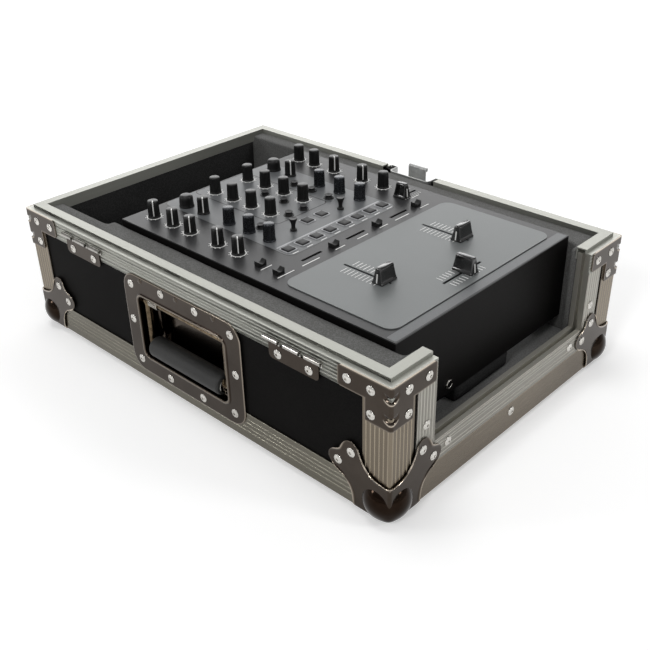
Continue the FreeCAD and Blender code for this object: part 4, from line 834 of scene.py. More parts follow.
@dataclass
class CornerBraces:
    """The stamped braces that wrap the four upper corners, with a crescent pressed across the fold twice."""

    wall: float = 1.6
    arm: float = 63.0
    leg: float = 31.0
    foot: float = 115.0
    step: float = 139.0
    fold: float = 3.4
    corner: float = 4.0
    crescents: tuple = (148.5, 126.5)
    crescent_half: float = 9.0
    crescent_depth: float = 2.4

    def sheet(self) -> Surface:
        """The outer skin of one brace: the flat blank (s, z) wrapped round the fold.

        In the fold P = centre + (R - d) (cos a, sin a), a = 45 degrees + s / R; outside it runs straight.
        """
        radius, arc = self.fold, math.pi * self.fold / 4
        reach, leg = self.arm - radius + arc, self.leg - radius + arc
        half = np.concatenate([np.linspace(0, 9, 25), np.linspace(9, leg - self.corner, 10)[1:],
                               np.linspace(leg - self.corner, leg, 6)[1:],
                               np.linspace(leg, reach - self.corner, 16)[1:],
                               np.linspace(reach - self.corner, reach, 6)[1:]])
        s_line = np.concatenate([-half[:0:-1], half])
        z_line = np.concatenate([np.linspace(self.foot, self.foot + self.corner, 6),
                                 np.linspace(self.foot + self.corner, self.step, 28)[1:],
                                 np.linspace(self.step, self.step + self.corner, 6)[1:],
                                 np.linspace(self.step + self.corner, SIZE.ledge - self.corner, 20)[1:],
                                 np.linspace(SIZE.ledge - self.corner, SIZE.ledge, 6)[1:]])
        z, s = np.meshgrid(z_line, s_line, indexing="ij")
        mid_s = np.abs((s_line[1:] + s_line[:-1]) / 2)[None, :]
        mid_z = ((z_line[1:] + z_line[:-1]) / 2)[:, None]
        kept = ((mid_s <= leg) | (mid_z >= self.step)).ravel()
        faces = [face for face, keep in zip(grid_faces(*z.shape), kept) if keep]
        blank = np.stack([np.abs(s), z], axis=-1)
        tips = (((reach, SIZE.ledge), (1, 1)), ((reach, self.step), (1, -1)), ((leg, self.foot), (1, -1)))
        for centre, signs in tips:
            blank = self.rounded(blank, np.array(centre, float), np.array(signs), self.corner)
        s, z = np.sign(s) * blank[..., 0], blank[..., 1]
        dent = self.dents(s, z)
        angle = np.clip(math.pi / 4 + s / radius, 0, math.pi / 2)
        beyond = np.clip(np.abs(s) - arc, 0, None)
        centre_x, centre_y = SIZE.side + self.wall - radius, SIZE.end + self.wall - radius
        x = centre_x + (radius - dent) * np.cos(angle) - np.where(s > 0, beyond, 0)
        y = centre_y + (radius - dent) * np.sin(angle) - np.where(s < 0, beyond, 0)
        grain = np.stack([s, z], axis=-1).reshape(-1, 2)
        arms = np.minimum(np.minimum(reach - np.abs(s), z - self.step), SIZE.ledge - z)
        legs = np.minimum(np.minimum(leg - np.abs(s), z - self.foot), SIZE.ledge - z)
        # Edges and the raised edge below each crescent are painted bright: partly wear, partly a painted
        # highlight.
        wear_and_highlight = 0.3 * np.exp(-(np.maximum(arms, legs) / 0.9) ** 2) + 0.9 * np.clip(-dent / 0.45, 0, 1)
        tone = np.clip(PLATE_TONE + wear_and_highlight, 0, 1).ravel()
        used = np.unique(np.array(faces))
        renumber = np.zeros(z.size, int)
        renumber[used] = np.arange(len(used))
        points = np.stack([x, y, z], axis=-1).reshape(-1, 3)[used]
        return Surface(points, renumber[np.array(faces)].tolist(), grain[used], tone[used])

    @staticmethod
    def rounded(blank: np.ndarray, tip: np.ndarray, signs: np.ndarray, radius: float) -> np.ndarray:
        """Draw a square corner of the blank in to a quarter circle: q' = q max(q) / |q| about the arc.

        Args:
            blank: The blank's points as (s, z).
            tip: The square corner.
            signs: The way that the corner points.
            radius: Radius of the arc.

        Returns:
            The moved points.
        """
        local = (blank - (tip - signs * radius)) * signs
        inside = (local >= -1e-9).all(axis=-1) & (local <= radius + 1e-9).all(axis=-1)
        length = np.maximum(np.linalg.norm(local, axis=-1), 1e-9)
        moved = local * (local.max(axis=-1) / length)[..., None] * signs + (tip - signs * radius)
        return np.where(inside[..., None], moved, blank)

    def dents(self, s: np.ndarray, z: np.ndarray) -> np.ndarray:
        """Depth of the crescents: D (1 - u^2) (1 - v^2), less a lip below, u = s/half, v = (z - bow)/4.

        Args:
            s: Place round the fold.
            z: Height.

        Returns:
            The depth at each point.
        """
        depth = np.zeros_like(z)
        for level in self.crescents:
            u = np.clip(s / self.crescent_half, -1, 1)
            v = (z - level - 3.4 * u ** 2) / 3.6
            hollow = np.clip(1 - v ** 2, 0, None) * (1 - 0.4 * v) * (1 - u ** 2)
            lip = np.exp(-((v + 1.2) / 0.24) ** 2) * np.clip(1.2 - u ** 2, 0, 1) * (np.abs(u) < 1)
            depth += self.crescent_depth * hollow - 0.45 * lip
        return depth

    def build(self) -> None:
        """Make the four braces."""
        sheet = self.sheet()
        corners = merged([sheet.mirrored(x, y) for x in (1, -1) for y in (1, -1)])
        Piece("upper_corner_braces", corners, PLATING, "case", "hardware", ("corner_braces",), closed=False,
              wall=1.5, bevel=0.35, crease=50.0).place()


@dataclass
class BallCorners:
    """The lower corners: three leaves drawn from one blank round a ball, with rolled flanks."""

    wall: float = 1.6
    centre: float = 16.0
    radius: float = 24.0
    fold: float = 3.4
    heel: float = 1.5
    hidden: float = 12.0
    lip: float = 1.0
    half_outline: tuple = ((42.5, 0), (42.8, 7), (43.6, 14), (45.5, 20.5), (49, 26.5), (54, 31), (60, 34.4),
                           (66, 36.8), (70.8, 39.8), (73.6, 44.8), (72.8, 50.2), (69.4, 54.6), (64.5, 57),
                           (61, 58.2), (59.3, 59.3))

    def outline(self) -> np.ndarray:
        """One leaf's edge from fold to fold, mirrored about its diagonal and evenly spaced."""
        half = np.array(self.half_outline, float)
        whole = np.concatenate([half, half[-2::-1, ::-1]])
        along = np.concatenate([[0.0], np.cumsum(np.linalg.norm(np.diff(whole, axis=0), axis=1))])
        even = np.linspace(0, along[-1], 81)
        smooth = np.column_stack([np.interp(even, along, whole[:, k]) for k in (0, 1)])
        for _ in range(3):
            smooth[1:-1] = (smooth[:-2] + 2 * smooth[1:-1] + smooth[2:]) / 4
        return smooth

    def leaf(self) -> Surface:
        """One leaf as a fan from the ball's middle, P(t, u) = C + (m + u (|O(t) - C| - m)) towards O(t).

        The blank lies on a box with rounded folds, and its flank is rolled up by l exp(-(off/1.7)^2).
        """
        edge = self.outline()
        scale = 1 + self.wall / self.half_outline[0][0]
        rim = edge * scale - self.wall
        fold = np.column_stack([np.linspace(self.centre, rim[0, 0], 11)[:-1], np.full(10, -self.wall)])
        border = np.concatenate([fold, rim, fold[::-1, ::-1]])
        open_edge = np.concatenate([np.zeros(10), np.ones(len(rim)), np.zeros(10)])
        flank = open_edge * np.clip((72 - border.max(axis=-1)) / 6, 0, 1)
        ray = border - self.centre
        far = np.linalg.norm(ray, axis=-1)
        share = np.concatenate([np.linspace(0, 0.93, 24), [0.95, 0.966, 0.98, 0.99, 1.0]])[:, None]
        reach = self.hidden + share * (far - self.hidden)
        flat = self.centre + (ray / far[:, None]) * reach[..., None]
        off_edge = (1 - share) * (far - self.hidden)
        proud = self.lip * np.exp(-(off_edge / 1.7) ** 2) * flank
        box = np.stack([np.full(flat.shape[:2], -self.wall) - proud, flat[..., 0], flat[..., 1]], axis=-1)
        core = np.clip(box, self.fold - self.wall, None)
        away = box - core
        length = np.maximum(np.linalg.norm(away, axis=-1, keepdims=True), 1e-9)
        round_to = np.where((away < -1e-6).sum(axis=-1, keepdims=True) > 1, self.fold / length, 1.0)
        # The rolled flank and the open edge are painted bright: partly wear, partly a painted highlight.
        rolled = 0.6 * np.exp(-(off_edge / 1.2) ** 2) * flank
        wear_and_highlight = rolled + 0.1 * np.exp(-(off_edge / 0.8) ** 2) * open_edge
        tone = np.clip(PLATE_TONE + wear_and_highlight, 0, 1)
        return Surface((core + away * round_to).reshape(-1, 3), grid_faces(len(share), len(border)),
                       tone=tone.ravel())

    def globe(self) -> Surface:
        """The ball, r + h exp(-(turn/15)^2) from its middle, flat where it stands, open in the case."""
        rise = np.radians(np.linspace(-89.5, 89.5, 48))
        ball = lathe(np.column_stack([np.cos(rise), np.sin(rise)]).tolist(), 64)
        turn = np.degrees(np.arccos(np.clip(ball.points @ np.array([1, 1, -1]) / math.sqrt(3), -1, 1)))
        radius = self.radius + self.heel * np.exp(-(turn / 15) ** 2)
        centre = np.array([SIZE.side - self.centre, SIZE.end - self.centre, SIZE.under + self.centre])
        points = centre + ball.points * radius[:, None]
        points[:, 2] = np.maximum(points[:, 2], 0.0)
        beyond = (points - (SIZE.side - 2, SIZE.end - 2, SIZE.under + 2)) * (-1, -1, 1)
        inside = (beyond > 0).all(axis=-1)
        faces = [face for face in ball.faces if not inside[face].all()]
        # The ball carries tone 0, darker than the plates: a painted shade for the dark reflections on it.
        return Surface(points, faces, tone=np.full(len(points), 0.0))

    def shell(self) -> Surface:
        """The three leaves of the corner at (+side, +end), with their folds shared, and its ball."""
        leaf = self.leaf()
        origin = np.array([SIZE.side, SIZE.end, SIZE.under])
        turns = (((1, 0, 0), (0, 1, 0), (0, 0, 1)), ((0, 0, 1), (1, 0, 0), (0, 1, 0)),
                 ((0, 1, 0), (0, 0, 1), (1, 0, 0)))
        corner = merged([leaf.mapped(rows) for rows in turns])
        return merged([corner.mapped(((-1, 0, 0), (0, -1, 0), (0, 0, 1))).moved(*origin), self.globe()])

    def build(self) -> None:
        """Make the four corners."""
        shell = self.shell()
        corners = merged([shell.mirrored(x, y) for x in (1, -1) for y in (1, -1)])
        Piece("ball_corner_shells", corners, PLATING, "case", "hardware", ("ball_corners",), closed=False,
              wall=1.4, crease=42.0).place()


@dataclass
class HingeHalves:
    """The case's halves of two lift-off hinges: a leaf whose upper edge is rolled into three knuckles."""

    offset: float = 171.5
    half: float = 33.0
    foot: float = 130.0
    neck: float = 147.0
    leaf: float = 1.6
    axis: tuple = (200.8, 152.0)
    barrel: float = 2.75
    pitch: float = 27.5
    knuckle: float = 20.0

    def rolled(self) -> np.ndarray:
        """The rolled section: the leaf runs up and turns 290 degrees round the pin's place, as (out, up)."""
        turn = np.radians(np.linspace(180, -105, 25))
        axis = np.array(self.axis)
        ring = np.column_stack([np.cos(turn), np.sin(turn)])
        return np.concatenate([[(SIZE.side, self.neck)], axis + ring * self.barrel,
                               (axis + ring * (self.barrel - self.leaf))[::-1],
                               [(SIZE.side + self.leaf, self.neck)]])

    def build(self) -> None:
        """Make both halves: leaves in black plating, barrels in bright chrome."""
        leaves, barrels = [], []
        steps = np.array([-1, 0, 1]) * self.pitch
        for centre in (-self.offset, self.offset):
            height = (self.neck - self.foot) / 2
            outline = rounded_outline(self.half, height + 3, 5.0) + (centre, self.foot + height + 3)
            outline[:, 1] = np.minimum(outline[:, 1], self.neck)
            leaves.append(prism(outline, SIZE.side, SIZE.side + self.leaf).mapped(FACING_X))
            barrels += [bar(self.rolled(), centre + step - self.knuckle / 2,
                            centre + step + self.knuckle / 2)
                        for step in steps]
        Piece("hinge_leaf_plates", merged(leaves).turned(2).toned(PLATE_TONE), PLATING, "case", "hardware",
              ("hinge_leaves",), bevel=0.3).place()
        Piece("hinge_barrels", merged(barrels).turned(2), CHROME, "case", "hardware", bevel=0.2,
              crease=40).place()


@dataclass
class RecessedHandle:
    """The handle: a drawn dish with a rolled bead, a wire bail, a rubber grip and a return spring."""

    half_width: float = 96.0
    low: float = 19.0
    high: float = 144.0
    corner: float = 20.0
    mouth_half: float = 71.0
    mouth_low: float = 42.0
    mouth_high: float = 120.0
    floor: float = 22.0
    pivot: tuple = (-192.0, 112.0)
    grip_z: float = 56.0
    arm: float = 65.0
    grip_half: float = 60.0

    def dish(self) -> Surface:
        """Rounded rectangles carried in from the plate's edge, over the bead and down the pan."""
        plate_mid, mouth_mid = (self.low + self.high) / 2, (self.mouth_low + self.mouth_high) / 2
        half, tall = self.half_width, (self.high - self.low) / 2
        wide, deep = self.mouth_half, (self.mouth_high - self.mouth_low) / 2
        # The last number of each level is its tone: the plate's edge, the bead's crest and the step inside
        # the pan are painted bright, partly wear and partly painted highlight, and the pan's floor is a
        # little paler to lift its shade.
        levels = [(half, tall, self.corner, 0.1, plate_mid, 0.4),
                  (half, tall, self.corner, 1.0, plate_mid, 0.45),
                  (half - 0.5, tall - 0.5, self.corner - 0.5, 1.5, plate_mid, 0.4),
                  (half - 1.6, tall - 1.6, self.corner - 1.6, 1.5, plate_mid, 0.05),
                  (half - 8, tall - 6, self.corner - 7, 1.5, plate_mid, 0.05),
                  (wide + 5.2, deep + 5.2, 13.0, 1.5, mouth_mid, 0.05),
                  (wide + 4.0, deep + 4.0, 12.0, 1.5, mouth_mid, 0.02)]
        turn = np.radians(np.linspace(15, 165, 8))
        levels += [(wide + 1.6 + 1.9 * math.cos(t), deep + 1.6 + 1.9 * math.cos(t), 9.5 + 1.9 * math.cos(t),
                    1.2 + 1.8 * math.sin(t), mouth_mid, 0.02 + 0.3 * math.sin(t) ** 4) for t in turn]
        levels += [(wide, deep, 8.0, 0.6, mouth_mid, 0.0),
                   (wide - 0.2, deep - 0.2, 8.0, -6.0, mouth_mid, 0.05),
                   (wide - 2.6, deep - 2.6, 7.0, -6.6, mouth_mid, 0.35),
                   (wide - 3.0, deep - 3.0, 7.0, -7.4, mouth_mid, 0.1),
                   (wide - 3.2, deep - 3.2, 7.0, -15.0, mouth_mid, 0.05)]
        turn = np.radians(np.linspace(0, 90, 6))
        levels += [(wide - 9.2 + 6 * math.cos(t), deep - 9.2 + 6 * math.cos(t), 7.0 - 5 * (1 - math.cos(t)),
                    6 - self.floor - 6 * math.sin(t), mouth_mid, 0.03 + 0.07 * math.sin(t)) for t in turn]
        rings, tones = [], []
        for a, b, r, out, mid, tone in levels:
            flat = rounded_outline(a, b, r, 9)
            rings.append(np.column_stack([np.full(len(flat), SIZE.side + out), flat[:, 0],
                                          flat[:, 1] + mid]))
            tones.append(np.full(len(flat), tone))
        made = loft(np.stack(rings), first=False)
        made.tone = np.concatenate(tones)
        return made

    def build(self) -> None:
        """Make the dish, its dimples, the bail and the grip."""
        Piece("handle_pressing", self.dish().turned(2), PLATING, "case", "hardware", ("handle_dish",),
              closed=False, wall=1.1, bevel=0.25, crease=50.0).place()
        dimple = lathe([(3.4, 0.0), (3.1, 0.5), (2.2, 1.0), (1.0, 1.25), (0.2, 1.3)], 20)
        places = [(SIZE.side + 1.4, -y, 139.0) for y in (64.0, 3.0, -57.0)]
        dimples = [dimple.mapped(FACING_X).moved(*place) for place in places]
        Piece("handle_dimples", merged(dimples).turned(2).toned(0.1), PLATING, "case", "hardware",
              crease=60).place()
        x, pivot_z = self.pivot
        pin = self.mouth_half + 1.4
        wire = tube([(-pin, pivot_z), (-self.arm, pivot_z), (-self.arm, self.grip_z),
                     (self.arm, self.grip_z), (self.arm, pivot_z), (pin, pivot_z)], 5.0, 3.9, x, 20)
        rod = lathe([(2.9, -pin), (2.9, pin)], 20).mapped(FACING_Y).moved(x, 0, pivot_z)
        Piece("handle_bow", merged([wire, rod]), WIRE, "handle", "hardware", ("handle_bail",),
              crease=50).place()
        turn = np.radians(np.linspace(0, 90, 7))
        face = self.grip_half - 1.5
        end = [(12.4 - 2.8 * (1 - math.cos(t)), face - 2.8 + 2.8 * math.sin(t)) for t in turn]
        profile = [(4.0, -face)] + [(r, -h) for r, h in end[::-1]] + end + [(4.0, face)]
        sleeve = lathe(profile, 48).mapped(FACING_Y).moved(x, 0, self.grip_z)
        Piece("grip_sleeve", sleeve, RUBBER, "handle", "rubber_grip", ("handle_grip",), crease=50).place()
        washer = lathe([(8.6, face), (8.6, face + 1.2), (8.2, face + 1.5), (4.0, face + 1.5)], 40)
        washers = merged([washer, washer.mapped(((1, 0, 0), (0, 1, 0), (0, 0, -1)))])
        Piece("grip_washers", washers.mapped(FACING_Y).moved(x, 0, self.grip_z), CHROME, "handle",
              "hardware", crease=40).place()
        dress("handle_spring", SPRING)


@dataclass
class ButterflyLatch:
    """The latch in the right wall: an open-topped dish, a hook with a rolled top and a wing on its post."""

    half_width: float = 41.5
    low: float = 69.5
    corner: float = 12.0
    mouth_half: float = 31.0
    mouth_low: float = 81.5
    floor: float = 16.0
    hub: float = 117.5

    @staticmethod
    def cup(half: float, low: float, radius: float) -> np.ndarray:
        """A U open at the top: down one side, round both lower corners and up the other, as (run, up)."""
        turn = np.radians(np.linspace(0, 90, 8))
        right = np.column_stack([half - radius + radius * np.cos(turn),
                                 low + radius - radius * np.sin(turn)])
        top = np.array([[half, SIZE.ledge]])
        left = right[::-1] * (-1, 1)
        return np.concatenate([top, right, left, top * (-1, 1)])

    def dish(self) -> Surface:
        """The U carried in from the plate's edge to the pan's floor, which closes it."""
        turn = np.radians(np.linspace(0, 90, 6))
        half, mouth = self.half_width, self.mouth_half
        levels = [(half, self.low, self.corner, 0.1), (half, self.low, self.corner, 1.0),
                  (half - 0.5, self.low + 0.5, self.corner, 1.5),
                  (mouth + 1.2, self.mouth_low - 1.2, 8.0, 1.5),
                  (mouth + 0.4, self.mouth_low - 0.4, 7.5, 1.1), (mouth, self.mouth_low, 7.0, 0.3),
                  (mouth - 0.2, self.mouth_low + 0.2, 7.0, -11.0)]
        levels += [(mouth - 0.2 - 5 * (1 - math.cos(t)), self.mouth_low + 0.2 + 5 * (1 - math.cos(t)),
                    7.0 - 4 * (1 - math.cos(t)), 5 - self.floor - 5 * math.sin(t)) for t in turn]
        rings = []
        for a, low, r, out in levels:
            flat = self.cup(a, low, r)[::-1]
            rings.append(np.column_stack([np.full(len(flat), SIZE.side + out), flat[:, 0], flat[:, 1]]))
        grid = np.stack(rings)
        faces = grid_faces(*grid.shape[:2])
        count = grid.shape[0] * grid.shape[1]
        faces = [face[::-1] for face in faces] + [list(range(count - 1, count - grid.shape[1] - 1, -1))]
        tones = np.repeat([0.5, 0.8, 0.8, 0.1, 0.6, 0.2] + [0.06] * (len(levels) - 6), grid.shape[1])
        return Surface(grid.reshape(-1, 3), [face[::-1] for face in faces], tone=tones)

    def build(self) -> None:
        """Make the dish, its post, the hook and the wing."""
        Piece("latch_pressing", self.dish(), ZINC, "case", "hardware", ("latch_dish",), closed=False,
              wall=1.1, bevel=0.25, crease=50.0).place()
        post = lathe([(9.0, -16.0), (8.6, -15.0), (6.2, -13.5), (5.9, -1.5), (5.4, 1.2), (3.3, 1.2),
                      (3.3, -6.0)], 36)
        Piece("latch_post", post.toned(0.3).mapped(FACING_X).moved(SIZE.side, 0, self.hub), ZINC, "case",
              "hardware", crease=40).place()
        face = SIZE.side + 1.8
        turn = np.radians(np.linspace(180, -100, 21))
        ring = np.column_stack([np.cos(turn), np.sin(turn)])
        axis = np.array([face + 2.6, 166.9])
        hook = np.concatenate([[(face, 103.5)], axis + ring * 2.6, (axis + ring * 1.0)[::-1],
                               [(face + 1.6, 103.5)]])
        blade = bar(hook, -14.0, 14.0)
        Piece("latch_hook_plate", blade, ZINC, "latch_hook", "hardware", ("latch_hook",), bevel=0.3,
              crease=40).place()
        outline = rounded_outline(27.0, 10.0, 9.0, 8)
        waist = 1 - 0.32 * np.exp(-(outline[:, 0] / 9.0) ** 2)
        outline = outline * np.column_stack([np.ones(len(outline)), waist])
        wing = prism(outline, face + 2.1, face + 4.1).mapped(FACING_X).moved(0, 0, self.hub)
        pin = lathe([(3.0, -13.6), (3.0, 3.9), (4.6, 4.0), (4.6, 5.2), (3.6, 6.0), (0.6, 6.2)], 28)
        pin = pin.mapped(FACING_X).moved(SIZE.side, 0, self.hub)
        Piece("latch_wing_plate", merged([wing, pin]), ZINC, "latch_wing", "hardware", ("latch_wing",),
              bevel=0.3, crease=40).place()


@dataclass
class FoamLining:
    """The foam on the walls and the floor, and the black block under the desk."""

    voxel: float = 3.2
    ripple: float = 0.35

    def pad(self, node: str, name: str, finish: Finish, slot: str) -> None:
        """One foam piece: the CAD solid's merged copy, voxel remeshed, eased and faintly rippled.

        Points move by r sin(x/17) sin(y/23 + z/19) along their normals, so cut faces aren't dead flat.

        Args:
            node: The CAD node that it replaces.
            name: Its own name.
            finish: Its finish.
            slot: Not used.
        """
        made = bpy.data.objects.new(name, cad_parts[node].data.copy())
        bpy.context.scene.collection.objects.link(made)
        whole = bmesh.new()
        whole.from_mesh(made.data)
        bmesh.ops.remove_doubles(whole, verts=whole.verts, dist=1e-5)
        whole.to_mesh(made.data)
        whole.free()
        made.data.remesh_voxel_size = self.voxel * MM
        remesh = made.modifiers.new("remesh", "REMESH")
        remesh.mode = "VOXEL"
        remesh.voxel_size = self.voxel * MM
        ease = made.modifiers.new("ease", "SMOOTH")
        ease.factor = 0.5
        ease.iterations = 3
        bpy.context.view_layer.update()
        shaped = made.evaluated_get(bpy.context.evaluated_depsgraph_get())
        mesh = bpy.data.meshes.new_from_object(shaped)
        made.modifiers.clear()
        made.data = mesh
        points = np.zeros(len(mesh.vertices) * 3, np.float32)
        normals = np.zeros(len(mesh.vertices) * 3, np.float32)
        mesh.vertices.foreach_get("co", points)
        mesh.vertex_normals.foreach_get("vector", normals)
        points, normals = points.reshape(-1, 3) / MM, normals.reshape(-1, 3)
        wave = np.sin(points[:, 0] / 17) * np.sin(points[:, 1] / 23 + points[:, 2] / 19)
        points = points + normals * (self.ripple * (wave[:, None] - 1))
        mesh.vertices.foreach_set("co", (points * MM).astype(np.float32).ravel())
        mesh.materials.clear()
        mesh.materials.append(finish.build())
        mesh.shade_smooth()
        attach(made, "case")
        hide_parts(node)
        log.info("%s: %d faces of foam", name, len(mesh.polygons))

    def build(self) -> None:
        """Make every foam piece."""
        self.pad("side_foam", "wall_foam", FOAM, "foam")
        self.pad("floor_foam", "floor_pad", LIT_FOAM, "foam")
        self.pad("foam_riser", "desk_riser", BLACK_FOAM, "riser_foam")
        self.lining()

    def lining(self) -> None:
        """The thin black sheet inside the back board, rippled by sin(x/19) sin(z/13) / 3."""
        x, z = np.meshgrid(np.linspace(-159.5, 159.5, 81), np.linspace(48.2, 160.6, 29), indexing="xy")
        wave = np.sin(x / 19) * np.sin(z / 13) / 3
        front = np.stack([x, 271.4 + wave, z], axis=-1)
        back = np.stack([x, np.full_like(x, 278.2), z], axis=-1)[:, ::-1]
        rings = np.concatenate([front, back], axis=1)
        made = Piece("back_lining", loft(rings), BLACK_FOAM, "case", "riser_foam", bevel=0.8).place()


@dataclass
class Rivets:
    """The pop rivets: smooth domed heads with a rolled rim and the hole of the drawn mandrel."""

    rise: float = 2.0
    profile: tuple = ((5.05, 0.0), (5.1, 0.35), (4.9, 0.75), (4.3, 1.05), (3.4, 1.45), (2.5, 1.8),
                      (1.8, 1.95), (1.4, 1.9), (1.25, 1.5), (1.2, 0.8), (0.2, 0.65))

    def islands(self) -> tuple:
        """Lowest and highest corner of each rivet of the CAD node.

        Points at one place share a number, and each edge gives both its ends the lower label in turn.

        Returns:
            The lowest and the highest corners, rivets by three.
        """
        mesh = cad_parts["rivets"].data
        points = np.zeros(len(mesh.vertices) * 3, np.float32)
        mesh.vertices.foreach_get("co", points)
        edges = np.zeros(len(mesh.edges) * 2, np.int32)
        mesh.edges.foreach_get("vertices", edges)
        points = points.reshape(-1, 3) / MM
        places, number = np.unique(np.round(points, 2), axis=0, return_inverse=True)
        pairs = number.ravel()[edges.reshape(-1, 2)]
        labels = np.arange(len(places))
        while True:
            lower = np.minimum(labels[pairs[:, 0]], labels[pairs[:, 1]])
            after = labels.copy()
            np.minimum.at(after, pairs[:, 0], lower)
            np.minimum.at(after, pairs[:, 1], lower)
            if (after == labels).all():
                break
            labels = after
        names = np.unique(labels)
        groups = [places[labels == name] for name in names]
        return np.array([g.min(axis=0) for g in groups]), np.array([g.max(axis=0) for g in groups])

    def build(self) -> None:
        """Put a head at each place, facing out of its wall."""
        low, high = self.islands()
        centres = (low + high) / 2
        head = lathe(list(self.profile), 28)
        heads = []
        for centre, axis in zip(centres, np.argmin(high - low, axis=1)):
            sign = -1.0 if axis == 2 else math.copysign(1.0, centre[axis])
            rows = np.roll(np.eye(3), 1 + axis, axis=0)
            rows[axis] *= sign
            base = centre.copy()
            base[axis] -= sign * self.rise / 2
            heads.append(head.mapped(rows).moved(*base))
        Piece("rivet_heads", merged(heads), RIVET, "case", "rivet", ("rivets",), crease=60).place()


# The mixer
@dataclass(frozen=True)
class DeskSize:
    """Places on the mixer, in millimetres."""

    half_width: float = 148.5
    front: float = -252.0
    top: float = 167.5
    plate_top: float = 168.5


DESK = DeskSize()
CHANNELS = (-65.5, 65.5)
CHANNEL_ROW = -146.1
CROSS_ROW = -217.0


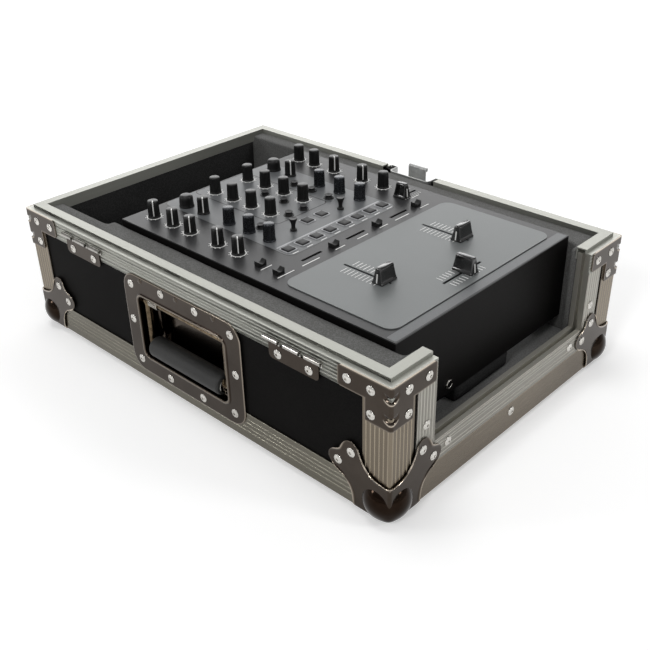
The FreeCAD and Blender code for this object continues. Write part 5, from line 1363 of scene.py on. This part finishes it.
@dataclass
class MixerBody:
    """The mixer's folded case and top panel, with its printed zones and lines."""

    ink: float = 0.1

    def sheet_of(self, outline: np.ndarray, x: float, y: float, low: float, thick: float) -> Surface:
        """A thin printed sheet on a surface of the desk."""
        return prism(outline + (x, y), low, low + thick)

    def ring_of(self, half: tuple, radius: float, width: float, place: tuple, low: float,
                thick: float) -> Surface:
        """A frame of one width: the outline at r and at r + w, joined below, inside, above and outside.

        Args:
            half: Half the opening's width and height.
            radius: Radius of the opening's corners.
            width: Width of the frame.
            place: Its middle.
            low: Its underside.
            thick: Its thickness.

        Returns:
            The closed frame.
        """
        inner = rounded_outline(half[0], half[1], radius) + place
        outer = rounded_outline(half[0] + width, half[1] + width, radius + width) + place
        count = len(inner)
        rings = [(inner, low), (inner, low + thick), (outer, low + thick), (outer, low)]
        points = np.concatenate([np.column_stack([flat, np.full(count, z)]) for flat, z in rings])
        faces = grid_faces(5, count, closed=True)
        return Surface(points, [[index % (4 * count) for index in face] for face in faces])

    def zones(self) -> None:
        """The paler print on the top panel and the dark lines round it."""
        top = DESK.top
        strip = self.sheet_of(rounded_outline(146.5, 5.6, 2.0), 0, DESK.front + 7.2, top, 0.08)
        centre = self.sheet_of(rounded_outline(88.5, 108.0, 9.0), 0, 50.5, top, 0.08)
        pads = self.sheet_of(rounded_outline(85.0, 1.3, 1.0), 0, -33.0, top + 0.08, 0.05)
        Piece("panel_zone", merged([strip, centre]), ZONE, "mixer", "desk_panel").place()
        Piece("panel_strip", pads, PAD_FRAME, "mixer", "desk_panel").place()
        heart = self.ring_of((42.0, 72.5), 6.0, 1.7, (0.5, 84.5), top + 0.08, 0.06)
        edge = self.ring_of((88.5, 108.0), 9.0, 1.2, (0, 50.5), top, 0.1)
        Piece("panel_outlines", merged([heart, edge]), OUTLINE, "mixer", "desk_panel").place()

    def marks(self) -> None:
        """White ink: the line over the pads, dashes under the controls, and the faders' scales."""
        top = DESK.top + 0.12
        rows = [((a + b) / 2, -83.0, b - a, 1.3) for a, b in (
            (-132, -108), (-96, -70), (-45, -30), (-10, 8), (28, 42), (55, 80), (101, 117))]
        rows += [(x, -55.3, 9.0, 1.1) for x in (-78, -56, -34, -12, 12, 34, 56, 78)]
        rows += [(-123.0, -57.0, 16.0, 1.1), (124.0, -57.0, 14.0, 1.1)]
        rows = np.array(rows)
        flat = blocks(np.column_stack([rows[:, :2], np.full(len(rows), top)]),
                      np.column_stack([rows[:, 2:], np.full(len(rows), self.ink)]))
        step = np.arange(-21.0, 26.0, 5.0)
        ticks = []
        for column in CHANNELS:
            for side in (-1, 1):
                ticks += [(column + side * 9.4, CHANNEL_ROW + y, 11.0, 0.8) for y in step]
        ticks += [(x, CROSS_ROW + side * 8.5, 0.8, 8.0)
                  for x in np.arange(-27.0, 28.0, 5.0) for side in (-1, 1)]
        ticks = np.array(ticks)
        high = DESK.plate_top + 0.05
        scale = blocks(np.column_stack([ticks[:, :2], np.full(len(ticks), high)]),
                       np.column_stack([ticks[:, 2:], np.full(len(ticks), self.ink)]))
        cue = np.array([(x, -44.8 + side * 8.2, 0.7, 3.6)
                        for x in np.arange(110.0, 140.0, 4.0) for side in (-1, 1)])
        cue_scale = blocks(np.column_stack([cue[:, :2], np.full(len(cue), top)]),
                           np.column_stack([cue[:, 2:], np.full(len(cue), self.ink)]))
        Piece("panel_ink", merged([flat, scale, cue_scale]), INK, "mixer", "desk_panel").place()

    def slots(self) -> None:
        """Painted shade: dark blocks in the faders' slots and in the narrow slits, just under the sheets'
        tops.
        """
        places = [(x, CHANNEL_ROW, DESK.plate_top - 0.9, 3.4, 64.0) for x in CHANNELS]
        places += [(0.0, CROSS_ROW, DESK.plate_top - 0.9, 64.0, 3.4),
                   (124.0, -44.8, DESK.top - 0.9, 32.0, 3.0)]
        places = np.array(places)
        shade_blocks = blocks(places[:, :3] - (0, 0, 1.2),
                      np.column_stack([places[:, 3:], np.full(len(places), 0.5)]))
        Piece("slot_shades", shade_blocks, HOLLOW_SHADE, "mixer", "desk_case").place()

    def socket(self) -> None:
        """The front's jack: a turned ring with a rounded lip round a bore painted dark as shade."""
        turn = np.radians(np.linspace(180, 0, 9))
        lip = [(4.35 + 0.95 * math.cos(t), 0.7 + 0.95 * math.sin(t)) for t in turn]
        ring = lathe([(3.4, -0.6)] + lip + [(5.4, 0.0)], 36)
        x, z = -63.0, 79.5
        placed = ring.mapped(((1, 0, 0), (0, 0, -1), (0, 1, 0))).moved(x, DESK.front - 0.2, z)
        Piece("jack_ring", placed, CHROME, "mixer", "desk_case", crease=50).place()
        bore = lathe([(2.7, -0.4), (2.7, 0.75)], 28).mapped(((1, 0, 0), (0, 0, -1), (0, 1, 0)))
        Piece("jack_bore", bore.moved(x, DESK.front - 0.2, z), HOLLOW_SHADE, "mixer", "desk_case").place()

    def build(self) -> None:
        """Dress the CAD shapes and add the print."""
        dress("mixer_chassis", POWDER)
        dress("mixer_top_panel", ENAMEL)
        dress("mixer_fader_plate", ANODISED)
        self.zones()
        self.marks()
        self.slots()
        self.socket()


@dataclass
class Faders:
    """The faders' caps: a wedge with hollowed flanks, a sharp ridge and a white line on its near end."""

    height: float = 17.5
    foot: float = 7.4
    top: float = 3.25
    draft: float = 1.7

    def cap(self, length: float, x: float, y: float, low: float, along_x: bool) -> tuple:
        """One cap and its line.

        Args:
            length: The cap's length.
            x: Its middle.
            y: Its middle.
            low: Its underside.
            along_x: Whether its length lies along X.

        Returns:
            The cap and the line.
        """
        half = length / 2 - 0.1
        rise = np.array([0.0, 0.05, 0.1, 0.25, 0.5, 0.72, 0.9, 0.97, 1.0])
        width = self.foot - (self.foot - self.top) * rise ** 0.6
        width[:2] = (self.foot - 0.3, self.foot)
        ends = half - self.draft * rise
        width[-2:] -= (0.15, 0.8)
        ends[-2:] -= (0.15, 0.8)
        body = rounded_stack([(e, w, min(1.1, w - 0.2), low + self.height * r)
                              for e, w, r in zip(ends, width, rise)])
        mid, tall = low + self.height * 0.36, self.height * 0.56
        line = blocks(np.array([[-half + self.draft * 0.36 + 0.1, 0, mid]]), np.array([[0.7, 1.5, tall]]))
        line.points[:, 0] += (line.points[:, 2] - mid) / self.height * self.draft
        parts = [body, line]
        if not along_x:
            parts = [part.turned(1) for part in parts]
        return tuple(part.moved(x, y) for part in parts)

    def build(self) -> None:
        """Make every cap on its own body."""
        for node, body, length, along_x in (
                ("mixer_fader_left", "fader_left", 24.5, True),
                ("mixer_fader_right", "fader_right", 24.5, True),
                ("mixer_crossfader", "crossfader", 24.5, False),
                ("mixer_cue_fader", "cue_fader", 17.0, False)):
            centre, low, high = middle(node)
            cap, line = self.cap(length, centre[0], centre[1], high[2] - self.height, along_x)
            stem_top = high[2] - self.height + 0.2
            stem = blocks(np.array([[centre[0], centre[1], (low[2] + stem_top) / 2]]),
                          np.array([[1.2, 4.0, stem_top - low[2]] if along_x
                                    else [4.0, 1.2, stem_top - low[2]]]))
            Piece(body + "_cap", merged([cap, stem]), CAP, body, "fader_cap", (node,), crease=50).place()
            Piece(body + "_line", line, INK, body, "fader_cap").place()


class KnobKind(Enum):
    """The knobs' kinds: which finish they have and whether they carry a pointer."""

    POINTED = "black, with a white line down its front and over its top"
    PLAIN = "black, without a line"
    METAL = "grey metal, without a line"
    ENCODER = "wide and black, with a finely milled grip"


@dataclass
class Knobs:
    """The desk's knobs, their pointers and the printed scales round them."""

    flutes: int = 22
    heading: float = -39.0
    scale_in: float = 9.3
    scale_out: float = 10.9
    ring: tuple = (7.8, 9.0)

    @staticmethod
    def kind(name: str) -> KnobKind:
        """The kind of one knob, by its place on the desk."""
        if name.endswith("encoder"):
            return KnobKind.ENCODER
        if name.startswith("trim") and name[-1] in "123":
            return KnobKind.METAL
        pointed = name.startswith("left") or name in ("trim_left_4", "trim_right_4", "right_2", "right_3")
        return KnobKind.POINTED if pointed else KnobKind.PLAIN

    def shape(self, kind: KnobKind) -> Surface:
        """One knob from its shaft to its crown, fluted between the skirt and the edge."""
        if kind is KnobKind.ENCODER:
            return lathe([(3.0, -8.0), (3.0, 0.3), (9.0, 0.3), (9.0, 1.6), (8.7, 2.1), (8.5, 3.0),
                          (8.4, 6.0),
                          (8.2, 10.0), (7.8, 12.4), (7.0, 14.0), (5.8, 14.75), (3.5, 15.0), (0.4, 15.0)], 56)
        skirt = lathe([(3.0, -8.0), (3.0, 0.3), (7.4, 0.3), (7.4, 1.4), (7.1, 1.9), (6.9, 2.1)], 48)
        grip = lathe([(6.9, 2.0), (6.75, 8.0), (6.55, 15.0), (6.4, 18.9), (6.25, 19.6)], 132, self.flutes,
                     0.075)
        crown = lathe([(6.2, 19.5), (6.0, 20.1), (5.4, 20.5), (0.5, 20.35)], 40)
        return merged([skirt, grip, crown])

    def pointer(self) -> Surface:
        """The white line down the side of a knob and over its crown, turned towards the front left."""
        top = blocks(np.array([[0, -3.4, 20.35]]), np.array([[1.2, 5.6, 0.4]]))
        front = blocks(np.array([[0, -6.75, 11.6]]), np.array([[1.2, 0.6, 16.4]]))
        front.points[:, 1] += (front.points[:, 2] - 11.6) * 0.028
        turn = math.radians(self.heading)
        cos, sin = math.cos(turn), math.sin(turn)
        return merged([top, front]).mapped(((cos, -sin, 0), (sin, cos, 0), (0, 0, 1)))

    def build(self) -> None:
        """Make every knob on its own body, then the scales."""
        ticks = []
        for node in sorted(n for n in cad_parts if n.startswith("mixer_knob_")):
            name = node.removeprefix("mixer_knob_")
            kind = self.kind(name)
            centre = middle(node)[0]
            finish = METAL_KNOB if kind is KnobKind.METAL else KNOB
            shape = self.shape(kind).moved(centre[0], centre[1], DESK.top)
            Piece("knob_" + name + "_cap", shape, finish, "knob_" + name, "knob", (node,), crease=40).place()
            if kind is KnobKind.POINTED:
                line = self.pointer().moved(centre[0], centre[1], DESK.top)
                Piece("knob_" + name + "_pointer", line, INK, "knob_" + name, "knob").place()
            if name.startswith(("left", "eq", "right")):
                ticks.append(centre[:2])
        angles = np.radians(np.linspace(-60, 240, 11))
        around = np.stack([np.cos(angles), np.sin(angles)], axis=-1)
        mid = (self.scale_in + self.scale_out) / 2
        places = (np.array(ticks)[:, None] + around[None] * mid).reshape(-1, 2)
        turns = np.tile(angles, len(ticks))
        sizes = (self.scale_out - self.scale_in, 0.9, 0.1)
        scale = blocks(np.column_stack([places, np.full(len(places), DESK.top + 0.12)]), sizes, turns)
        small, large = self.ring
        band = lathe([(small, 0.06), (small, 0.2), (large, 0.2), (large, 0.06)], 48)
        band = Surface(band.points, [face for face in band.faces if len(face) == 4] + [
            [(i + 1) % 48, i, 144 + i, 144 + (i + 1) % 48] for i in range(48)])
        bands = [band.moved(x, y, DESK.top) for x, y in ticks]
        Piece("knob_scales", merged([scale] + bands), INK, "mixer", "desk_panel").place()


@dataclass
class PadsAndButtons:
    """The square pads with their painted frames, and the round waisted buttons."""

    pads: tuple = (tuple((x, -43.9) for x in (-78, -56, -34, -12, 12, 34, 56, 78))
                   + ((-11.0, -7.3), (12.6, -7.3)))
    buttons: tuple = ((9.5, 85), (9.5, 52), (9.5, 19), (-14, 20), (55, 80), (55, 50), (52.6, 19),
                      (-59.4, 19))

    def build(self) -> None:
        """Make the pads and buttons as one piece, as they are one body, and the frames on the desk."""
        base = 163.0
        pad = rounded_stack([(5.9, 5.9, 0.9, base), (5.9, 5.9, 0.9, 168.6), (5.6, 5.6, 0.9, 169.2),
                             (4.9, 4.9, 0.8, 169.5), (1.0, 1.0, 0.4, 169.45)])
        button = lathe([(4.4, base), (4.4, 168.0), (3.7, 169.4), (3.7, 170.4), (4.5, 171.8), (4.7, 172.3),
                        (4.3, 172.5), (2.4, 171.9), (0.4, 171.7)], 32)
        parts = [pad.moved(x, y) for x, y in self.pads] + [button.moved(x, y) for x, y in self.buttons]
        Piece("pads_and_buttons", merged(parts), PAD, "pads", "pad", ("mixer_pads",), crease=50).place()
        body = MixerBody()
        frames = [body.ring_of((6.1, 6.1), 0.9, 1.7, place, DESK.top, 0.6) for place in self.pads]
        Piece("pad_frames", merged(frames), PAD_FRAME, "mixer", "desk_panel", crease=30).place()
        collar = [(5.1, 0.0), (5.1, 0.5), (5.5, 0.8), (6.2, 0.6), (6.4, 0.0)]
        collars = [lathe(collar, 32).moved(x, y, DESK.top) for x, y in self.buttons]
        Piece("button_collars", merged(collars), SWITCH, "mixer", "desk_panel", crease=50).place()


@dataclass
class Switches:
    """Five rocker switches and two flared paddles."""

    rockers: tuple = ((-123.3, -48.5), (-123.3, -75.7), (-40.1, -75.7), (31.5, -75.7), (103.2, -74.8))
    paddles: tuple = ((-40.1, -13.9), (38.0, -13.9))

    @staticmethod
    def rocker() -> Surface:
        """A rocker: its top dips to the middle, z = w + (h - w) (2 x / L)^2."""
        x = np.linspace(-5.5, 5.5, 17)
        top = 2.5 + 3.4 * (np.abs(x) / 5.5) ** 1.6
        outline = np.concatenate([np.column_stack([x, top]), [(5.5, 0.0), (-5.5, 0.0)]])
        return prism(outline, -3.5, 3.5).mapped(((1, 0, 0), (0, 0, -1), (0, 1, 0)))

    def build(self) -> None:
        """Make the rockers and the paddles."""
        rockers = [self.rocker().moved(x, y, DESK.top) for x, y in self.rockers]
        paddle = [(4.0, 0.0), (4.0, 1.7), (3.7, 2.3), (2.6, 2.6), (2.3, 5.0), (2.6, 8.0), (3.7, 11.4),
                  (4.7, 13.6), (4.8, 14.4), (4.4, 15.0), (2.4, 14.7), (0.4, 14.5)]
        paddles = [lathe(paddle, 40).moved(x, y, DESK.top) for x, y in self.paddles]
        Piece("rockers_and_paddles", merged(rockers + paddles), SWITCH, "mixer", "switch",
              ("mixer_switches",), bevel=0.25, crease=42).place()


# The studio
@dataclass
class Studio:
    """A white floor and a far wall, a grey surround, soft lamps and the photograph's camera."""

    azimuth: float = -45.92
    elevation: float = 30.97
    roll: float = -1.36
    unit_mm: float = 578.0
    distance: float = 1.9008
    shift_right: float = 0.0258
    shift_up: float = -0.0964
    half_height: float = 0.1330
    focal_px: float = 909.8
    image_px: float = 650.0
    surround: float = 0.38
    glow: float = 0.3
    wide: float = 9.0
    wall: float = 2.4

    def camera(self) -> None:
        """Place the camera: C = target + d back + a right + b up, then roll about the view."""
        a, e, r = (math.radians(v) for v in (self.azimuth, self.elevation, self.roll))
        back = Vector((math.sin(a) * math.cos(e), -math.cos(a) * math.cos(e), math.sin(e)))
        right = Vector((math.cos(a), math.sin(a), 0))
        up = back.cross(right)
        unit = self.unit_mm * MM
        target = Vector((0, 0, self.half_height * unit + SIZE.under * MM))
        spot = target + (back * self.distance + right * self.shift_right + up * self.shift_up) * unit
        rolled_right = right * math.cos(r) + up * math.sin(r)
        rolled_up = up * math.cos(r) - right * math.sin(r)
        data = bpy.data.cameras.new("camera")
        data.sensor_width = 36.0
        data.lens = self.focal_px / self.image_px * 36.0
        data.clip_start = 0.02
        made = bpy.data.objects.new("camera", data)
        bpy.context.scene.collection.objects.link(made)
        made.matrix_world = Matrix((
            (rolled_right.x, rolled_up.x, back.x, spot.x), (rolled_right.y, rolled_up.y, back.y, spot.y),
            (rolled_right.z, rolled_up.z, back.z, spot.z), (0, 0, 0, 1)))
        bpy.context.scene.camera = made

    @staticmethod
    def seen(tree: bpy.types.NodeTree) -> bpy.types.NodeSocket:
        """1 for rays from the camera, off gloss or through glass, and 0 for others."""
        path = add(tree, "ShaderNodeLightPath").outputs
        both = add(tree, "ShaderNodeMath", {0: path["Is Camera Ray"], 1: path["Is Glossy Ray"]},
                   operation="MAXIMUM")
        return add(tree, "ShaderNodeMath", {0: both.outputs[0], 1: path["Is Transmission Ray"]},
                   operation="MAXIMUM").outputs[0]

    def world(self) -> None:
        """An even grey surround, which lights the object softly from above the white wall."""
        world = bpy.data.worlds.new("studio")
        bpy.context.scene.world = world
        world.use_nodes = True
        tree = world.node_tree
        tree.nodes.clear()
        shade = add(tree, "ShaderNodeBackground", {"Color": (1, 1, 1, 1), "Strength": self.surround})
        out = add(tree, "ShaderNodeOutputWorld")
        tree.links.new(shade.outputs[0], out.inputs["Surface"])

    def floor(self) -> None:
        """A wide matt floor that curves up to a low wall: P(i, t) = (r_i cos t, r_i sin t, z_i)."""
        turn = np.linspace(0, 2 * math.pi, 96, endpoint=False)
        bend = np.radians(np.linspace(0, 90, 10))
        radius = np.concatenate([[0.01, 1.0, 3.0], self.wide - 1 + np.sin(bend), [self.wide]])
        height = np.concatenate([[0.0, 0.0, 0.0], 1 - np.cos(bend), [self.wall]])
        x, y = radius[:, None] * np.cos(turn), radius[:, None] * np.sin(turn)
        rows = np.stack([x, y, np.repeat(height[:, None], len(turn), axis=1)], axis=-1)
        shape = loft(rows, first=True, last=False)
        mesh = bpy.data.meshes.new("floor")
        mesh.from_pydata(shape.points.tolist(), [], [face[::-1] for face in shape.faces])
        mesh.shade_smooth()
        made = bpy.data.objects.new("floor", mesh)
        bpy.context.scene.collection.objects.link(made)
        paint = bpy.data.materials.new("studio_floor")
        paint.use_nodes = True
        tree = paint.node_tree
        tree.nodes.clear()
        glow = add(tree, "ShaderNodeMath", {0: self.seen(tree), 1: self.glow}, operation="MULTIPLY")
        light = add(tree, "ShaderNodeEmission", {"Color": (1, 1, 1, 1), "Strength": glow.outputs[0]})
        matt = add(tree, "ShaderNodeBsdfDiffuse", {"Color": (0.86, 0.86, 0.86, 1), "Roughness": 0.9})
        both = add(tree, "ShaderNodeAddShader", {0: light.outputs[0], 1: matt.outputs[0]})
        out = add(tree, "ShaderNodeOutputMaterial")
        tree.links.new(both.outputs[0], out.inputs["Surface"])
        mesh.materials.append(paint)

    def lamp(self, name: str, spot: tuple, size: tuple, power: float) -> None:
        """A soft rectangular lamp that faces the case.

        Args:
            name: The lamp's name.
            spot: Its place in metres.
            size: Its width and height in metres.
            power: Its power in watts.
        """
        data = bpy.data.lights.new(name, "AREA")
        data.shape = "RECTANGLE"
        data.size, data.size_y = size
        data.energy = power
        made = bpy.data.objects.new(name, data)
        bpy.context.scene.collection.objects.link(made)
        toward = Vector((0, 0, 0.1)) - Vector(spot)
        made.matrix_world = Matrix.Translation(spot) @ toward.to_track_quat("-Z", "Y").to_matrix().to_4x4()

    def build(self) -> None:
        """Set up the whole studio."""
        bpy.context.scene.view_settings.view_transform = "Standard"
        self.camera()
        self.world()
        self.floor()
        self.lamp("back_lamp", (1.75, 1.6, 1.15), (3.4, 1.7), 42.0)
        self.lamp("top_lamp", (-0.2, 0.3, 2.4), (0.9, 0.9), 16.0)
        self.lamp("key_lamp", (-2.0, -0.7, 1.5), (0.45, 0.45), 10.0)
        self.lamp("fill_lamp", (0.7, -2.2, 1.3), (0.45, 0.45), 10.0)
        self.lamp("edge_lamp", (-1.9, 1.4, 1.0), (0.35, 0.35), 6.0)


def main() -> None:
    """Build the case, the mixer and the studio in order."""
    logging.basicConfig(level=logging.INFO, format="%(name)s: %(message)s")
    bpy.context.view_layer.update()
    assemblies = (Boards(), Extrusions(), CornerBraces(), BallCorners(), HingeHalves(), RecessedHandle(),
                  ButterflyLatch(), FoamLining(), Rivets(), MixerBody(), Faders(), Knobs(), PadsAndButtons(),
                  Switches())
    for assembly in assemblies:
        assembly.build()
    Studio().build()


if __name__ == "__main__":
    main()
